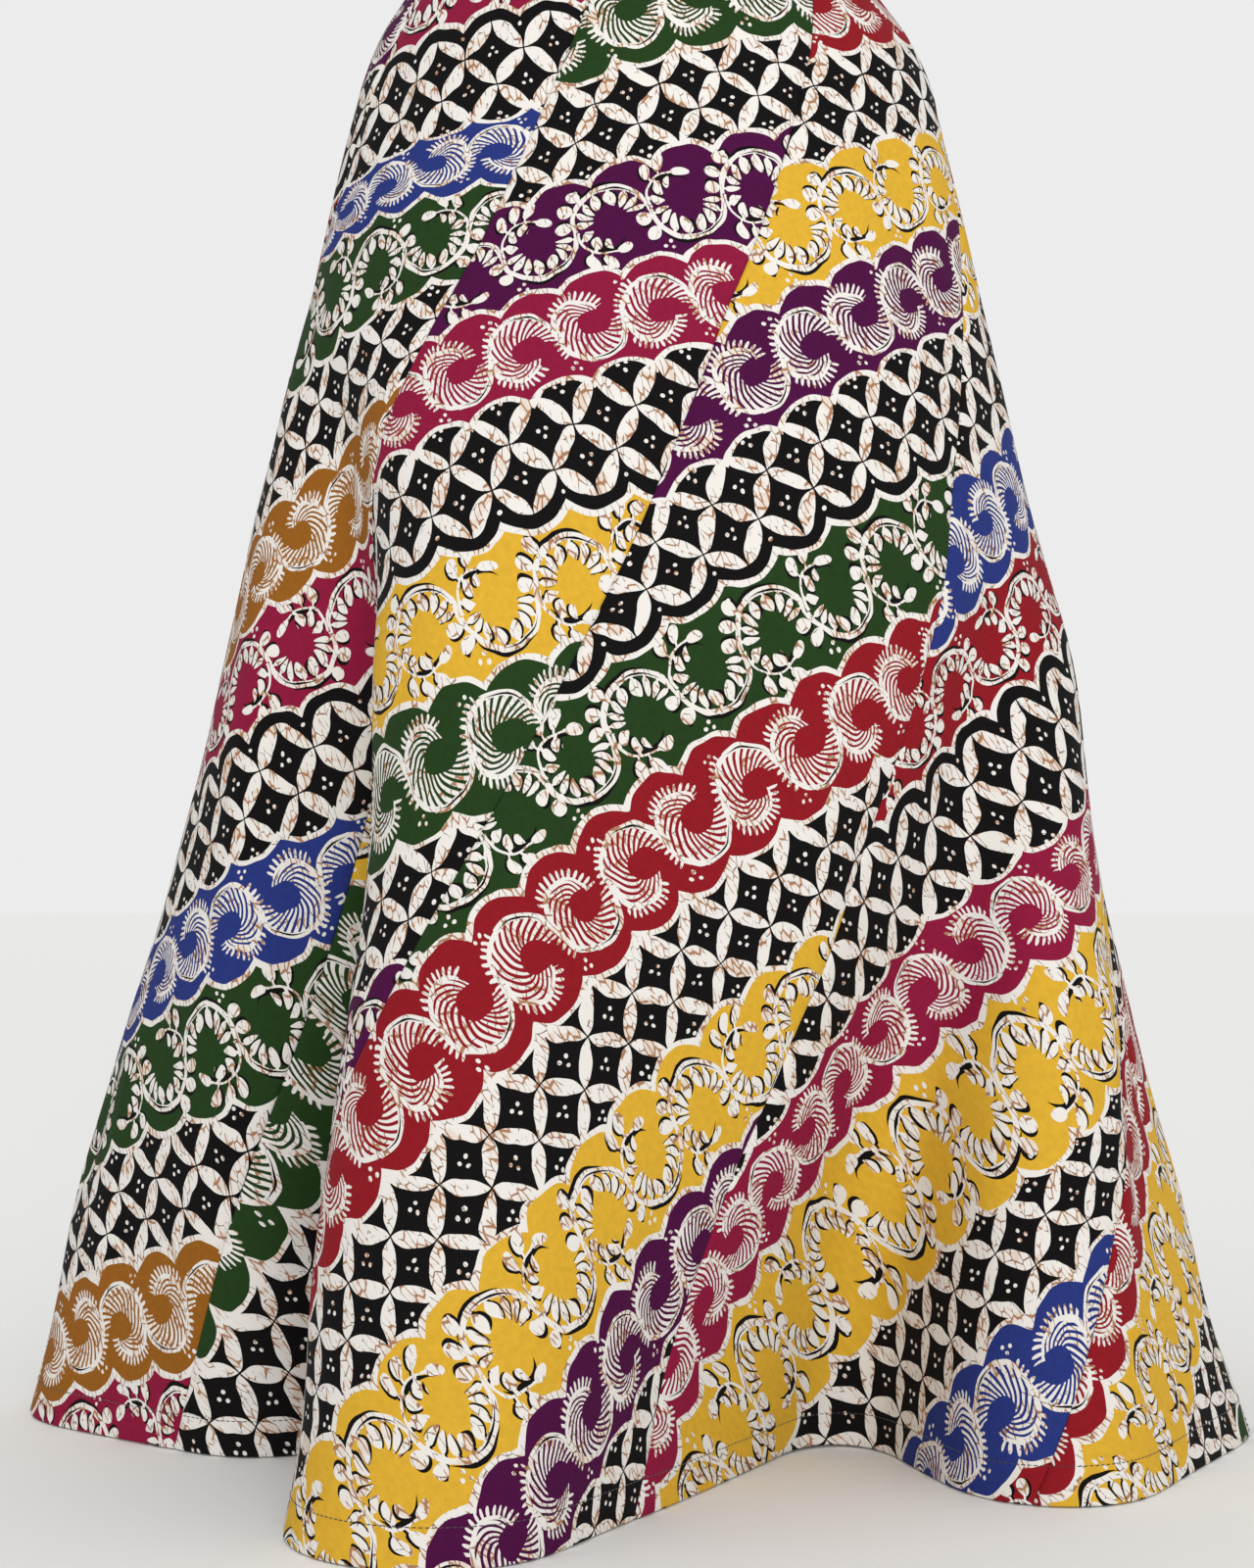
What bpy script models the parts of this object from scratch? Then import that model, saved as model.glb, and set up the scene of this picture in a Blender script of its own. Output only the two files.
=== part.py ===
"""A long batik skirt of seven spiral gores, filled out as if worn and open at waist and hem.

Metres, +Z up. The origin is the middle of the waist's top edge, the front faces -Y and the skirt hangs
down from there. Every gore turns about the body from the waist to the hem. The form below the hip falls in
folds: the outline of the hem is a line laid round the bends of those folds, and each level above it is a
mix of that outline and the oval of the hip.
"""

import math
from collections import namedtuple

import bmesh
import bpy
import numpy as np
from mathutils import Matrix, Vector

# The cut, in metres

LENGTH = 0.805           # top edge of the waistband to the hem
BAND_HEIGHT = 0.034      # waistband
GORES = 7                # equal gores
WALL = 0.0016            # one layer of cloth with its seam allowances, as a wall
HEM_DEPTH = 0.020        # cloth turned up inside the hem
HEM_WALL = 0.0028        # wall where the hem is double
GAP = 0.0003             # between pieces that meet at a seam
BAND_PROUD = 0.0006      # the waistband is thicker than a gore by this much, outside

# The form at each level: half width, where its middle lies, and how deep it is in front of and behind the
# middle for each unit of half width

Level = namedtuple("Level", "drop half_width middle front back")
LEVELS = (
    Level(0.000, 0.1130, 0.000, 0.84, 0.86),
    Level(0.034, 0.1160, 0.000, 0.83, 0.86),
    Level(0.050, 0.1265, 0.000, 0.81, 0.85),
    Level(0.069, 0.1395, 0.001, 0.79, 0.84),
    Level(0.090, 0.1490, 0.002, 0.77, 0.83),
    Level(0.120, 0.1570, 0.002, 0.76, 0.82),
    Level(0.170, 0.1685, 0.002, 0.75, 0.80),
    Level(0.217, 0.1790, 0.002, 0.75, 0.79),
    Level(0.272, 0.1935, 0.001, 0.75, 0.78),
    Level(0.354, 0.2165, 0.001, 0.75, 0.77),
    Level(0.506, 0.2510, -0.004, 0.75, 0.76),
    Level(0.649, 0.2900, -0.010, 0.75, 0.75),
    Level(0.773, 0.3210, -0.008, 0.75, 0.75),
    Level(0.805, 0.3300, -0.007, 0.75, 0.75),
)

# The folds, in the order in which they follow each other round the hem from the wearer's right: the middle
# and radius of each bend at the hem, whether it bends out as a crest or in as a valley, the drop where it
# begins, how its depth grows (1 is even), and how many degrees further round it lies where it begins

Fold = namedtuple("Fold", "name x y radius side start growth drift")
CREST = 1
VALLEY = -1
FOLDS = (
    Fold("left crest", -0.272, 0.062, 0.060, CREST, 0.20, 1.10, 0),
    Fold("left lip", -0.195, -0.014, 0.044, CREST, 0.22, 0.90, -4),
    Fold("deep front valley", -0.062, -0.022, 0.020, VALLEY, 0.23, 0.55, 20),
    Fold("front crest", -0.092, -0.195, 0.070, CREST, 0.23, 0.75, 34),
    Fold("right front valley", 0.103, -0.055, 0.026, VALLEY, 0.25, 0.95, -34),
    Fold("right front crest", 0.205, -0.100, 0.055, CREST, 0.22, 1.00, -30),
    Fold("right crest", 0.255, 0.010, 0.070, CREST, 0.20, 1.20, -22),
    Fold("right back valley", 0.235, 0.165, 0.024, VALLEY, 0.22, 1.20, -8),
    Fold("back right crest", 0.135, 0.215, 0.052, CREST, 0.22, 1.20, -8),
    Fold("back valley", 0.020, 0.200, 0.028, VALLEY, 0.22, 1.20, -8),
    Fold("back left crest", -0.105, 0.215, 0.058, CREST, 0.22, 1.20, -8),
    Fold("left back valley", -0.222, 0.190, 0.024, VALLEY, 0.22, 1.20, -5),
)
FOLD_EASE = 0.06         # share of a fold's length over which it starts softly
DRIFT_TOP = 0.20         # drop above which the drift of the folds is complete
HIP_START = -112.0       # where the hem's leftmost cloth lies on the hip: degrees from the front, + to the right

# The spiral of the first seam, as the share of the way round at each drop

Turn = namedtuple("Turn", "drop share")
SEAM_TURN = (
    Turn(0.000, 0.291),
    Turn(0.034, 0.289),
    Turn(0.080, 0.266),
    Turn(0.150, 0.235),
    Turn(0.200, 0.213),
    Turn(0.250, 0.188),
    Turn(0.300, 0.168),
    Turn(0.360, 0.152),
    Turn(0.480, 0.126),
    Turn(0.600, 0.100),
    Turn(0.700, 0.077),
    Turn(0.805, 0.060),
)

# How finely the cloth is divided

ROUND = 720              # points round a level when it is worked out
ACROSS = 14              # faces across a gore
TOP_ROWS = 6             # rows of faces where the form curves, above the hip
TOP_DROP = 0.120
LOWER_ROWS = 21          # rows from there to the hem's turning
HEM_STEP = 0.0006        # height of the inside step where the hem's turning begins
BAND_ROUND = 84          # faces round the waistband

# The concealed zip in the seam at the back

ZIP_SEAM = 4             # the seam it closes, counted from the first
ZIP_END = 0.220          # its tapes end at the gores' last row above this drop
ZIP_TOP = 0.002          # drop of its tapes' upper ends
ZIP_SLIT = 0.0022        # the waistband's ends stand this far apart
TAPE_WIDTH = 0.012
TAPE_WALL = 0.0010
TAPE_BEHIND = 0.0007     # clear of the faces of the gores and of the waistband, which are flat between rows
SLIDER_DROP = 0.0075
SLIDER = (0.0080, 0.0030, 0.0100)    # width, depth and height of its body, inside
SLIDER_ROUND = 0.0009
NECK = (0.0014, 0.0036)  # thickness and height of the neck through the slit
LUG_RADIUS = 0.0022
LUG_OUT = 0.0026         # middle of the lug's eye, out from the waistband's face
EYE_RADIUS = 0.0010
PULL_BAR = 0.0007        # radius of the bar through the eye
PULL_WALL = 0.0012
PULL_ARM = 0.0013        # width of the two arms beside the lug
PULL_SIDE = 0.0012       # from the middle of the lug to an arm
PULL_SLOT = 0.0032       # from the eye to the lower end of the slot that clears the lug
PULL_LENGTH = 0.0200
PULL_TIP = 0.0034        # radius of its round lower end

COLOURS = {
    "black": (0.012, 0.011, 0.011),
    "red": (0.330, 0.010, 0.016),
    "yellow": (0.700, 0.440, 0.020),
    "green": (0.012, 0.085, 0.030),
    "blue": (0.020, 0.045, 0.300),
    "magenta": (0.300, 0.008, 0.075),
    "purple": (0.075, 0.010, 0.090),
    "nickel": (0.560, 0.540, 0.500),
}
GORE_COLOURS = ("blue", "green", "red", "yellow", "magenta", "purple", "green")


def clear_scene():
    for old in list(bpy.data.objects):
        bpy.data.objects.remove(old, do_unlink=True)


# Lines through a few given values

def eased(at, places, values):
    """The values at the places, joined by a smooth curve, read at one or more points."""
    places = np.asarray(places, float)
    values = np.asarray(values, float)
    slopes = np.gradient(values, places)
    at = np.clip(at, places[0], places[-1])
    i = np.clip(np.searchsorted(places, at, side="right") - 1, 0, len(places) - 2)
    step = places[i + 1] - places[i]
    t = (at - places[i]) / step
    return (
        (1 + 2 * t) * (1 - t) ** 2 * values[i]
        + t * (1 - t) ** 2 * step * slopes[i]
        + t * t * (3 - 2 * t) * values[i + 1]
        + t * t * (t - 1) * step * slopes[i + 1]
    )


def level_value(drop, column):
    return float(eased(drop, [row.drop for row in LEVELS], [getattr(row, column) for row in LEVELS]))


def seam_share(drop):
    return float(eased(drop, [row.drop for row in SEAM_TURN], [row.share for row in SEAM_TURN]))


# Closed outlines, as arrays of points that run counter-clockwise seen from above

def run_lengths(points):
    closed = np.vstack([points, points[:1]])
    steps = np.hypot(*np.diff(closed, axis=0).T)
    return closed, np.concatenate([[0.0], np.cumsum(steps)])


def at_shares(points, shares):
    """Points at the given shares of the way round a closed outline."""
    closed, run = run_lengths(points)
    want = np.mod(shares, 1.0) * run[-1]
    return np.stack([np.interp(want, run, closed[:, axis]) for axis in range(2)], axis=1)


def softened(values, width):
    """The running mean of values round a closed outline."""
    reach = np.concatenate([values[-width:], values, values[:width]])
    return np.convolve(reach, np.ones(width) / width, mode="same")[width:-width]


def belt_angle(fold, following):
    """The direction, seen from both bends' middles, in which a line laid round them touches them."""
    across = following.x - fold.x
    along = following.y - fold.y
    apart = math.hypot(across, along)
    lean = (fold.radius * fold.side - following.radius * following.side) / apart
    return math.atan2(along, across) - math.acos(lean)


def hem_outline():
    """The hem from above, laid like a belt round the bends of the folds, and each bend's middle share."""
    leaving = [belt_angle(fold, FOLDS[(i + 1) % len(FOLDS)]) for i, fold in enumerate(FOLDS)]
    points = []
    middles = []
    for i, fold in enumerate(FOLDS):
        start = leaving[i - 1]
        sweep = (leaving[i] - start) % math.tau
        if fold.side == VALLEY:
            sweep -= math.tau
        steps = 2 * max(1, round(abs(sweep) * fold.radius / 0.004))
        middles.append(len(points) + steps // 2)
        for k in range(steps + 1):
            angle = start + sweep * k / steps
            points.append((
                fold.x + fold.side * fold.radius * math.cos(angle),
                fold.y + fold.side * fold.radius * math.sin(angle),
            ))
    points = np.array(points)
    _, run = run_lengths(points)
    return points, np.array([run[i] for i in middles]) / run[-1]


def unit_hem():
    """The hem, softened, one unit in half width, from its leftmost point round; and the folds' shares."""
    points, middles = hem_outline()
    even = at_shares(points, np.arange(ROUND) / ROUND)
    even = np.stack([softened(even[:, axis], 13) for axis in range(2)], axis=1)
    first = int(np.argmin(even[:, 0]))
    even = np.roll(even, -first, axis=0)
    left, right = even[:, 0].min(), even[:, 0].max()
    even = (even - [(left + right) / 2, 0.0]) / ((right - left) / 2)
    return even, (middles - first / ROUND) % 1.0


UNIT_HEM, FOLD_SHARES = unit_hem()
SHARES = np.arange(ROUND) / ROUND


def round_values(column):
    """A column of the folds' table, spread evenly from fold to fold all round."""
    order = np.argsort(FOLD_SHARES)
    places = FOLD_SHARES[order]
    values = np.array([getattr(fold, column) for fold in FOLDS], float)[order]
    places = np.concatenate([places - 1, places, places + 1])
    return softened(np.interp(SHARES, places, np.tile(values, 3)), 41)


FOLD_START = round_values("start")
FOLD_GROWTH = round_values("growth")
FOLD_DRIFT = round_values("drift") / 360


def hip_oval(front, back):
    """The oval of the body at a level, one unit in half width, by equal lengths from the start point."""
    angles = np.radians(HIP_START) + np.arange(5 * ROUND) * math.tau / (5 * ROUND)
    depth = np.where(np.cos(angles) > 0, front, back)
    oval = np.stack([np.sin(angles), -depth * np.cos(angles)], axis=1)
    return at_shares(oval, SHARES)


def level_outline(drop):
    """The cloth's outer face at a level, from above."""
    along = np.clip((drop - FOLD_START) / (LENGTH - FOLD_START), 0, 1)
    share = (1 + FOLD_EASE) * along ** (FOLD_GROWTH + 1) / (along + FOLD_EASE)
    rise = 1 - min(1.0, max(0.0, (drop - DRIFT_TOP) / (LENGTH - DRIFT_TOP)))
    source = np.append(SHARES, 1.0)
    folded = np.stack([
        np.interp((SHARES + FOLD_DRIFT * rise) % 1.0, source, np.append(UNIT_HEM[:, axis], UNIT_HEM[0, axis]))
        for axis in range(2)
    ], axis=1)
    oval = hip_oval(level_value(drop, "front"), level_value(drop, "back"))
    mixed = (1 - share)[:, None] * oval + share[:, None] * folded
    left, right = mixed[:, 0].min(), mixed[:, 0].max()
    mixed = (mixed - [(left + right) / 2, 0.0]) * level_value(drop, "half_width") / ((right - left) / 2)
    return mixed + [level_value(drop, "middle"), 0.0]


def cloth_points(drop, shares):
    """Points of the cloth's outer face at a level, by their shares of the way round."""
    flat = at_shares(level_outline(drop), shares)
    return np.column_stack([flat, np.full(len(flat), -drop)])


def cloth_normals(drop, shares):
    """The cloth's outward directions at the same points."""
    nudge = 0.0015
    upper, lower = max(0.0, drop - nudge), min(LENGTH, drop + nudge)
    down = cloth_points(lower, shares) - cloth_points(upper, shares)
    round_way = cloth_points(drop, shares + nudge) - cloth_points(drop, shares - nudge)
    normal = np.cross(down, round_way)
    return normal / np.linalg.norm(normal, axis=1)[:, None]


# Solids

def material(name, colour, roughness, metallic=0.0):
    made = bpy.data.materials.new(name)
    made.use_nodes = True
    shader = made.node_tree.nodes["Principled BSDF"]
    shader.inputs["Base Color"].default_value = (*COLOURS[colour], 1.0)
    shader.inputs["Roughness"].default_value = roughness
    shader.inputs["Metallic"].default_value = metallic
    made.diffuse_color = (*COLOURS[colour], 1.0)
    return made


def finish(name, mesh_maker, finish_material, sharp=35.0):
    """An object from a bmesh, with its faces out and its round faces smooth."""
    bmesh.ops.recalc_face_normals(mesh_maker, faces=mesh_maker.faces)
    mesh = bpy.data.meshes.new(name)
    mesh_maker.to_mesh(mesh)
    mesh_maker.free()
    mesh.materials.append(finish_material)
    mesh.shade_smooth()
    mesh.set_sharp_from_angle(angle=math.radians(sharp))
    made = bpy.data.objects.new(name, mesh)
    bpy.context.collection.objects.link(made)
    return made


def wall(name, outer, inner, finish_material):
    """A wall between two like grids of points, closed along all four edges."""
    rows, columns = outer.shape[:2]
    maker = bmesh.new()
    out = [[maker.verts.new(point) for point in row] for row in outer]
    back = [[maker.verts.new(point) for point in row] for row in inner]
    for r in range(rows - 1):
        for c in range(columns - 1):
            maker.faces.new((out[r][c], out[r + 1][c], out[r + 1][c + 1], out[r][c + 1]))
            maker.faces.new((back[r][c], back[r][c + 1], back[r + 1][c + 1], back[r + 1][c]))
    for r in range(rows - 1):
        maker.faces.new((out[r][0], back[r][0], back[r + 1][0], out[r + 1][0]))
        maker.faces.new((out[r][-1], out[r + 1][-1], back[r + 1][-1], back[r][-1]))
    for c in range(columns - 1):
        maker.faces.new((out[0][c], out[0][c + 1], back[0][c + 1], back[0][c]))
        maker.faces.new((out[-1][c], back[-1][c], back[-1][c + 1], out[-1][c + 1]))
    bmesh.ops.triangulate(maker, faces=maker.faces, quad_method="SHORT_EDGE")
    return finish(name, maker, finish_material)


def gore_drops():
    """The levels of a gore's rows, with the step inside where the hem's turning begins."""
    first = BAND_HEIGHT + GAP
    turning = LENGTH - HEM_DEPTH
    upper = np.linspace(first, TOP_DROP, TOP_ROWS, endpoint=False)
    lower = np.linspace(TOP_DROP, turning, LOWER_ROWS + 1)
    return [*upper, *lower, turning + HEM_STEP, LENGTH]


def gore(number, cloth):
    """One gore, from its own seam to the next, with the hem's turning as a thicker foot inside."""
    outer = []
    inner = []
    for drop in gore_drops():
        outline = level_outline(drop)
        _, run = run_lengths(outline)
        gap = GAP / 2 / run[-1]
        first = seam_share(drop) + (number - 2) / GORES + gap
        last = seam_share(drop) + (number - 1) / GORES - gap
        shares = np.linspace(first, last, ACROSS + 1)
        points = cloth_points(drop, shares)
        thick = HEM_WALL if drop > LENGTH - HEM_DEPTH + HEM_STEP / 2 else WALL
        back = points - cloth_normals(drop, shares) * thick
        if drop == LENGTH:
            back[:, 2] = -LENGTH
        outer.append(points)
        inner.append(back)
    return wall(f"panel_{number}", np.array(outer), np.array(inner), cloth)


def waistband(cloth):
    """The band round the waist, from one side of the zip's slit to the other."""
    outer = []
    inner = []
    for drop in (0.0, BAND_HEIGHT / 2, BAND_HEIGHT):
        _, run = run_lengths(level_outline(drop))
        middle = seam_share(drop) + ZIP_SEAM / GORES
        half = ZIP_SLIT / 2 / run[-1]
        shares = np.linspace(middle + half, middle + 1 - half, BAND_ROUND + 1)
        points = cloth_points(drop, shares)
        level_way = cloth_normals(drop, shares)
        level_way[:, 2] = 0.0
        level_way /= np.linalg.norm(level_way, axis=1)[:, None]
        outer.append(points + level_way * BAND_PROUD)
        inner.append(points - level_way * WALL)
    return wall("waistband", np.array(outer), np.array(inner), cloth)


def zip_tape(name, side, cloth):
    """One tape, inside the gores and the waistband, beside the seam that the zip closes."""
    front = []
    back = []
    drops = [ZIP_TOP, BAND_HEIGHT / 2] + [drop for drop in gore_drops() if drop < ZIP_END]
    for drop in drops:
        _, run = run_lengths(level_outline(drop))
        middle = seam_share(drop) + ZIP_SEAM / GORES
        near = ZIP_SLIT / 2 / run[-1]
        far = (ZIP_SLIT / 2 + TAPE_WIDTH) / run[-1]
        first, last = (near, far) if side > 0 else (-far, -near)
        shares = middle + np.linspace(first, last, 4)
        points = cloth_points(drop, shares)
        normals = cloth_normals(drop, shares)
        front.append(points - normals * (WALL + TAPE_BEHIND))
        back.append(points - normals * (WALL + TAPE_BEHIND + TAPE_WALL))
    return wall(name, np.array(front), np.array(back), cloth)


def slider_frame():
    """The place and directions of the slider: across the slit, out from the waistband, and up."""
    share = np.array([seam_share(SLIDER_DROP) + ZIP_SEAM / GORES])
    place = Vector(cloth_points(SLIDER_DROP, share)[0])
    out = Vector(cloth_normals(SLIDER_DROP, share)[0])
    out.z = 0.0
    out.normalize()
    up = Vector((0.0, 0.0, 1.0))
    across = out.cross(up)
    frame = Matrix((across, out, up)).transposed().to_4x4()
    frame.translation = place + out * BAND_PROUD
    return frame


def block(size, middle):
    maker = bmesh.new()
    bmesh.ops.create_cube(maker, size=1.0, matrix=Matrix.Translation(middle) @ Matrix.Diagonal((*size, 1.0)))
    return maker


def rod(radius, length, middle, sides):
    """A round rod that lies across the slit."""
    maker = bmesh.new()
    turned = Matrix.Translation(middle) @ Matrix.Rotation(math.pi / 2, 4, "Y")
    bmesh.ops.create_cone(maker, cap_ends=True, segments=sides, radius1=radius, radius2=radius, depth=length,
                          matrix=turned)
    return maker


def joined(name, base, others, operation):
    """The base with other solids added to it or cut from it."""
    for i, other in enumerate(others):
        modifier = base.modifiers.new(f"{name}_{operation}_{i}", "BOOLEAN")
        modifier.operation = operation
        modifier.object = other
        modifier.solver = "EXACT"
    graph = bpy.context.evaluated_depsgraph_get()
    mesh = bpy.data.meshes.new_from_object(base.evaluated_get(graph))
    base.modifiers.clear()
    base.data = mesh
    for other in others:
        bpy.data.objects.remove(other, do_unlink=True)
    return base


def zip_slider(frame, metal):
    """The slider's body behind the tapes, and its neck and lug through the slit with an eye for the pull."""
    width, depth, height = SLIDER
    behind = BAND_PROUD + WALL + TAPE_BEHIND + TAPE_WALL + GAP
    body = block((width, depth, height), (0.0, -behind - depth / 2, 0.0))
    bmesh.ops.bevel(body, geom=body.edges, offset=SLIDER_ROUND, segments=2, affect="EDGES", profile=0.5)
    base = finish("zip_slider", body, metal)
    reach = behind + depth / 2 + LUG_OUT - EYE_RADIUS - GAP
    neck = block((NECK[0], reach, NECK[1]), (0.0, LUG_OUT - EYE_RADIUS - GAP - reach / 2, 0.0))
    lug = rod(LUG_RADIUS, NECK[0], (0.0, LUG_OUT, 0.0), 20)
    eye = rod(EYE_RADIUS, 3 * NECK[0], (0.0, LUG_OUT, 0.0), 16)
    added = [finish("neck", neck, metal), finish("lug", lug, metal)]
    joined("slider", base, added, "UNION")
    joined("slider", base, [finish("eye", eye, metal)], "DIFFERENCE")
    base.data.transform(frame)
    return base


def zip_pull(frame, metal):
    """The pull tab: a bar through the lug's eye, two arms beside the lug and a drop-shaped plate."""
    half = PULL_SIDE + PULL_ARM
    outline = [(-half, 0.0), (-half, -PULL_SLOT)]
    for k in range(13):
        angle = math.pi + math.pi * k / 12
        outline.append((PULL_TIP * math.cos(angle), -PULL_LENGTH + PULL_TIP + PULL_TIP * math.sin(angle)))
    outline += [(half, -PULL_SLOT), (half, 0.0)]
    maker = bmesh.new()
    face = maker.faces.new([maker.verts.new((x, -PULL_WALL / 2, z)) for x, z in outline])
    grown = bmesh.ops.extrude_face_region(maker, geom=[face])
    moved = [part for part in grown["geom"] if isinstance(part, bmesh.types.BMVert)]
    bmesh.ops.translate(maker, verts=moved, vec=(0.0, PULL_WALL, 0.0))
    plate = finish("zip_pull", maker, metal)
    slot_height = PULL_SLOT + 2 * PULL_BAR
    slot = block((2 * PULL_SIDE, 3 * PULL_WALL, slot_height), (0.0, 0.0, slot_height / 2 - PULL_SLOT))
    joined("pull", plate, [finish("slot", slot, metal)], "DIFFERENCE")
    bar = rod(PULL_BAR, 2 * half - GAP, (0.0, 0.0, 0.0), 12)
    joined("pull", plate, [finish("bar", bar, metal)], "UNION")
    plate.data.transform(Matrix.Translation((0.0, LUG_OUT, 0.0)))
    eye = frame @ Vector((0.0, LUG_OUT, 0.0))
    plate.data.transform(frame)
    plate.data.transform(Matrix.Translation(-eye))
    plate.location = eye
    return plate


clear_scene()
for number, colour in enumerate(GORE_COLOURS, start=1):
    gore(number, material(f"batik cotton {number}", colour, 0.85))
waistband(material("batik cotton band", "black", 0.85))
tape = material("zip tape", "black", 0.8)
zip_tape("zip_tape_left", 1, tape)
zip_tape("zip_tape_right", -1, tape)
nickel = material("nickel plated brass", "nickel", 0.3, 1.0)
zip_slider(slider_frame(), nickel)
zip_pull(slider_frame(), nickel)
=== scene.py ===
"""The looks of a long batik skirt of seven spiral gores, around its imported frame."""

import math
from collections import namedtuple

import bmesh
import bpy
import numpy as np
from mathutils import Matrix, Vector


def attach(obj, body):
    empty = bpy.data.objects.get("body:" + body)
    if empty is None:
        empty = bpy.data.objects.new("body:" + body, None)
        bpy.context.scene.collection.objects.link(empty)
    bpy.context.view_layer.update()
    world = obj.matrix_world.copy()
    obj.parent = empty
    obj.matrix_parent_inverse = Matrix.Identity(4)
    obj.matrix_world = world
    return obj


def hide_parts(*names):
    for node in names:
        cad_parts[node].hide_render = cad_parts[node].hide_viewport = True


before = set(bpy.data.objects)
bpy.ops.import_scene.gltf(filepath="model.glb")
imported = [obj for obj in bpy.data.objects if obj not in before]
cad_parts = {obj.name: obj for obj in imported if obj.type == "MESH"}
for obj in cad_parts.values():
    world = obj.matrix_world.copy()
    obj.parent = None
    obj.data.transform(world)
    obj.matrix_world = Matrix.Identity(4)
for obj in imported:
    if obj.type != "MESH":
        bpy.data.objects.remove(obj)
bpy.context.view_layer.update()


# The hang of the cloth. A worn skirt takes its form from the body down to the hip and from its own folds
# below. The form is the frame's own: each level is a mix of the hip's oval and the hem's folded outline.

LENGTH = 0.805           # metres from the waistband's top edge to the hem
BAND_HEIGHT = 0.034
GORES = 7
GORE_TOP = 0.0343        # where the gores start, below the waistband

Level = namedtuple("Level", "drop half_width middle front back")
LEVELS = (
    Level(0.000, 0.1130, 0.000, 0.84, 0.86),
    Level(0.034, 0.1160, 0.000, 0.83, 0.86),
    Level(0.050, 0.1265, 0.000, 0.81, 0.85),
    Level(0.069, 0.1395, 0.001, 0.79, 0.84),
    Level(0.090, 0.1490, 0.002, 0.77, 0.83),
    Level(0.120, 0.1570, 0.002, 0.76, 0.82),
    Level(0.170, 0.1685, 0.002, 0.75, 0.80),
    Level(0.217, 0.1790, 0.002, 0.75, 0.79),
    Level(0.272, 0.1935, 0.001, 0.75, 0.78),
    Level(0.354, 0.2165, 0.001, 0.75, 0.77),
    Level(0.506, 0.2510, -0.004, 0.75, 0.76),
    Level(0.649, 0.2900, -0.010, 0.75, 0.75),
    Level(0.773, 0.3210, -0.008, 0.75, 0.75),
    Level(0.805, 0.3300, -0.007, 0.75, 0.75),
)

CREST = 1
VALLEY = -1
Fold = namedtuple("Fold", "x y radius side start growth drift")
FOLDS = (
    Fold(-0.272, 0.062, 0.060, CREST, 0.20, 1.10, 0),
    Fold(-0.195, -0.014, 0.044, CREST, 0.22, 0.90, -4),
    Fold(-0.062, -0.022, 0.020, VALLEY, 0.23, 0.55, 20),
    Fold(-0.092, -0.195, 0.070, CREST, 0.23, 0.75, 34),
    Fold(0.103, -0.055, 0.026, VALLEY, 0.25, 0.95, -34),
    Fold(0.205, -0.100, 0.055, CREST, 0.22, 1.00, -30),
    Fold(0.255, 0.010, 0.070, CREST, 0.20, 1.20, -22),
    Fold(0.235, 0.165, 0.024, VALLEY, 0.22, 1.20, -8),
    Fold(0.135, 0.215, 0.052, CREST, 0.22, 1.20, -8),
    Fold(0.020, 0.200, 0.028, VALLEY, 0.22, 1.20, -8),
    Fold(-0.105, 0.215, 0.058, CREST, 0.22, 1.20, -8),
    Fold(-0.222, 0.190, 0.024, VALLEY, 0.22, 1.20, -5),
)
FOLD_EASE = 0.06         # share of a fold's length over which it starts softly
DRIFT_TOP = 0.20         # drop above which the drift of the folds is complete
HIP_START = -112.0       # where the hem's leftmost cloth lies on the hip, in degrees from the front
ROUND = 720              # points round a level
OVAL_ROUND = 5 * ROUND   # points round the hip's oval before it is evened out
BEND_STEP = 0.004        # between the points laid round a bend of the hem
HEM_SOFTENING = 13       # points over which the hem's outline is smoothed
FOLD_SOFTENING = 41      # and the folds' values
NUDGE = 0.0015           # how far to each side a slope is measured

Turn = namedtuple("Turn", "drop share")
SEAM_TURN = (
    Turn(0.000, 0.291),
    Turn(0.034, 0.289),
    Turn(0.080, 0.266),
    Turn(0.150, 0.235),
    Turn(0.200, 0.213),
    Turn(0.250, 0.188),
    Turn(0.300, 0.168),
    Turn(0.360, 0.152),
    Turn(0.480, 0.126),
    Turn(0.600, 0.100),
    Turn(0.700, 0.077),
    Turn(0.805, 0.060),
)


def eased(at, places, values):
    """The values at the places, joined by a smooth curve, read at one or more points."""
    places = np.asarray(places, float)
    values = np.asarray(values, float)
    slopes = np.gradient(values, places)
    at = np.clip(at, places[0], places[-1])
    i = np.clip(np.searchsorted(places, at, side="right") - 1, 0, len(places) - 2)
    step = places[i + 1] - places[i]
    t = (at - places[i]) / step
    return (
        (1 + 2 * t) * (1 - t) ** 2 * values[i]
        + t * (1 - t) ** 2 * step * slopes[i]
        + t * t * (3 - 2 * t) * values[i + 1]
        + t * t * (t - 1) * step * slopes[i + 1]
    )


def level_value(drop, column):
    return float(eased(drop, [row.drop for row in LEVELS], [getattr(row, column) for row in LEVELS]))


def seam_share(drop):
    return float(eased(drop, [row.drop for row in SEAM_TURN], [row.share for row in SEAM_TURN]))


def run_lengths(points):
    closed = np.vstack([points, points[:1]])
    steps = np.hypot(*np.diff(closed, axis=0).T)
    return closed, np.concatenate([[0.0], np.cumsum(steps)])


def at_shares(points, shares):
    """Points at the given shares of the way round a closed outline."""
    closed, run = run_lengths(points)
    want = np.mod(shares, 1.0) * run[-1]
    return np.stack([np.interp(want, run, closed[:, axis]) for axis in range(2)], axis=1)


def softened(values, width):
    """The running mean of values round a closed outline."""
    reach = np.concatenate([values[-width:], values, values[:width]])
    return np.convolve(reach, np.ones(width) / width, mode="same")[width:-width]


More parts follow.
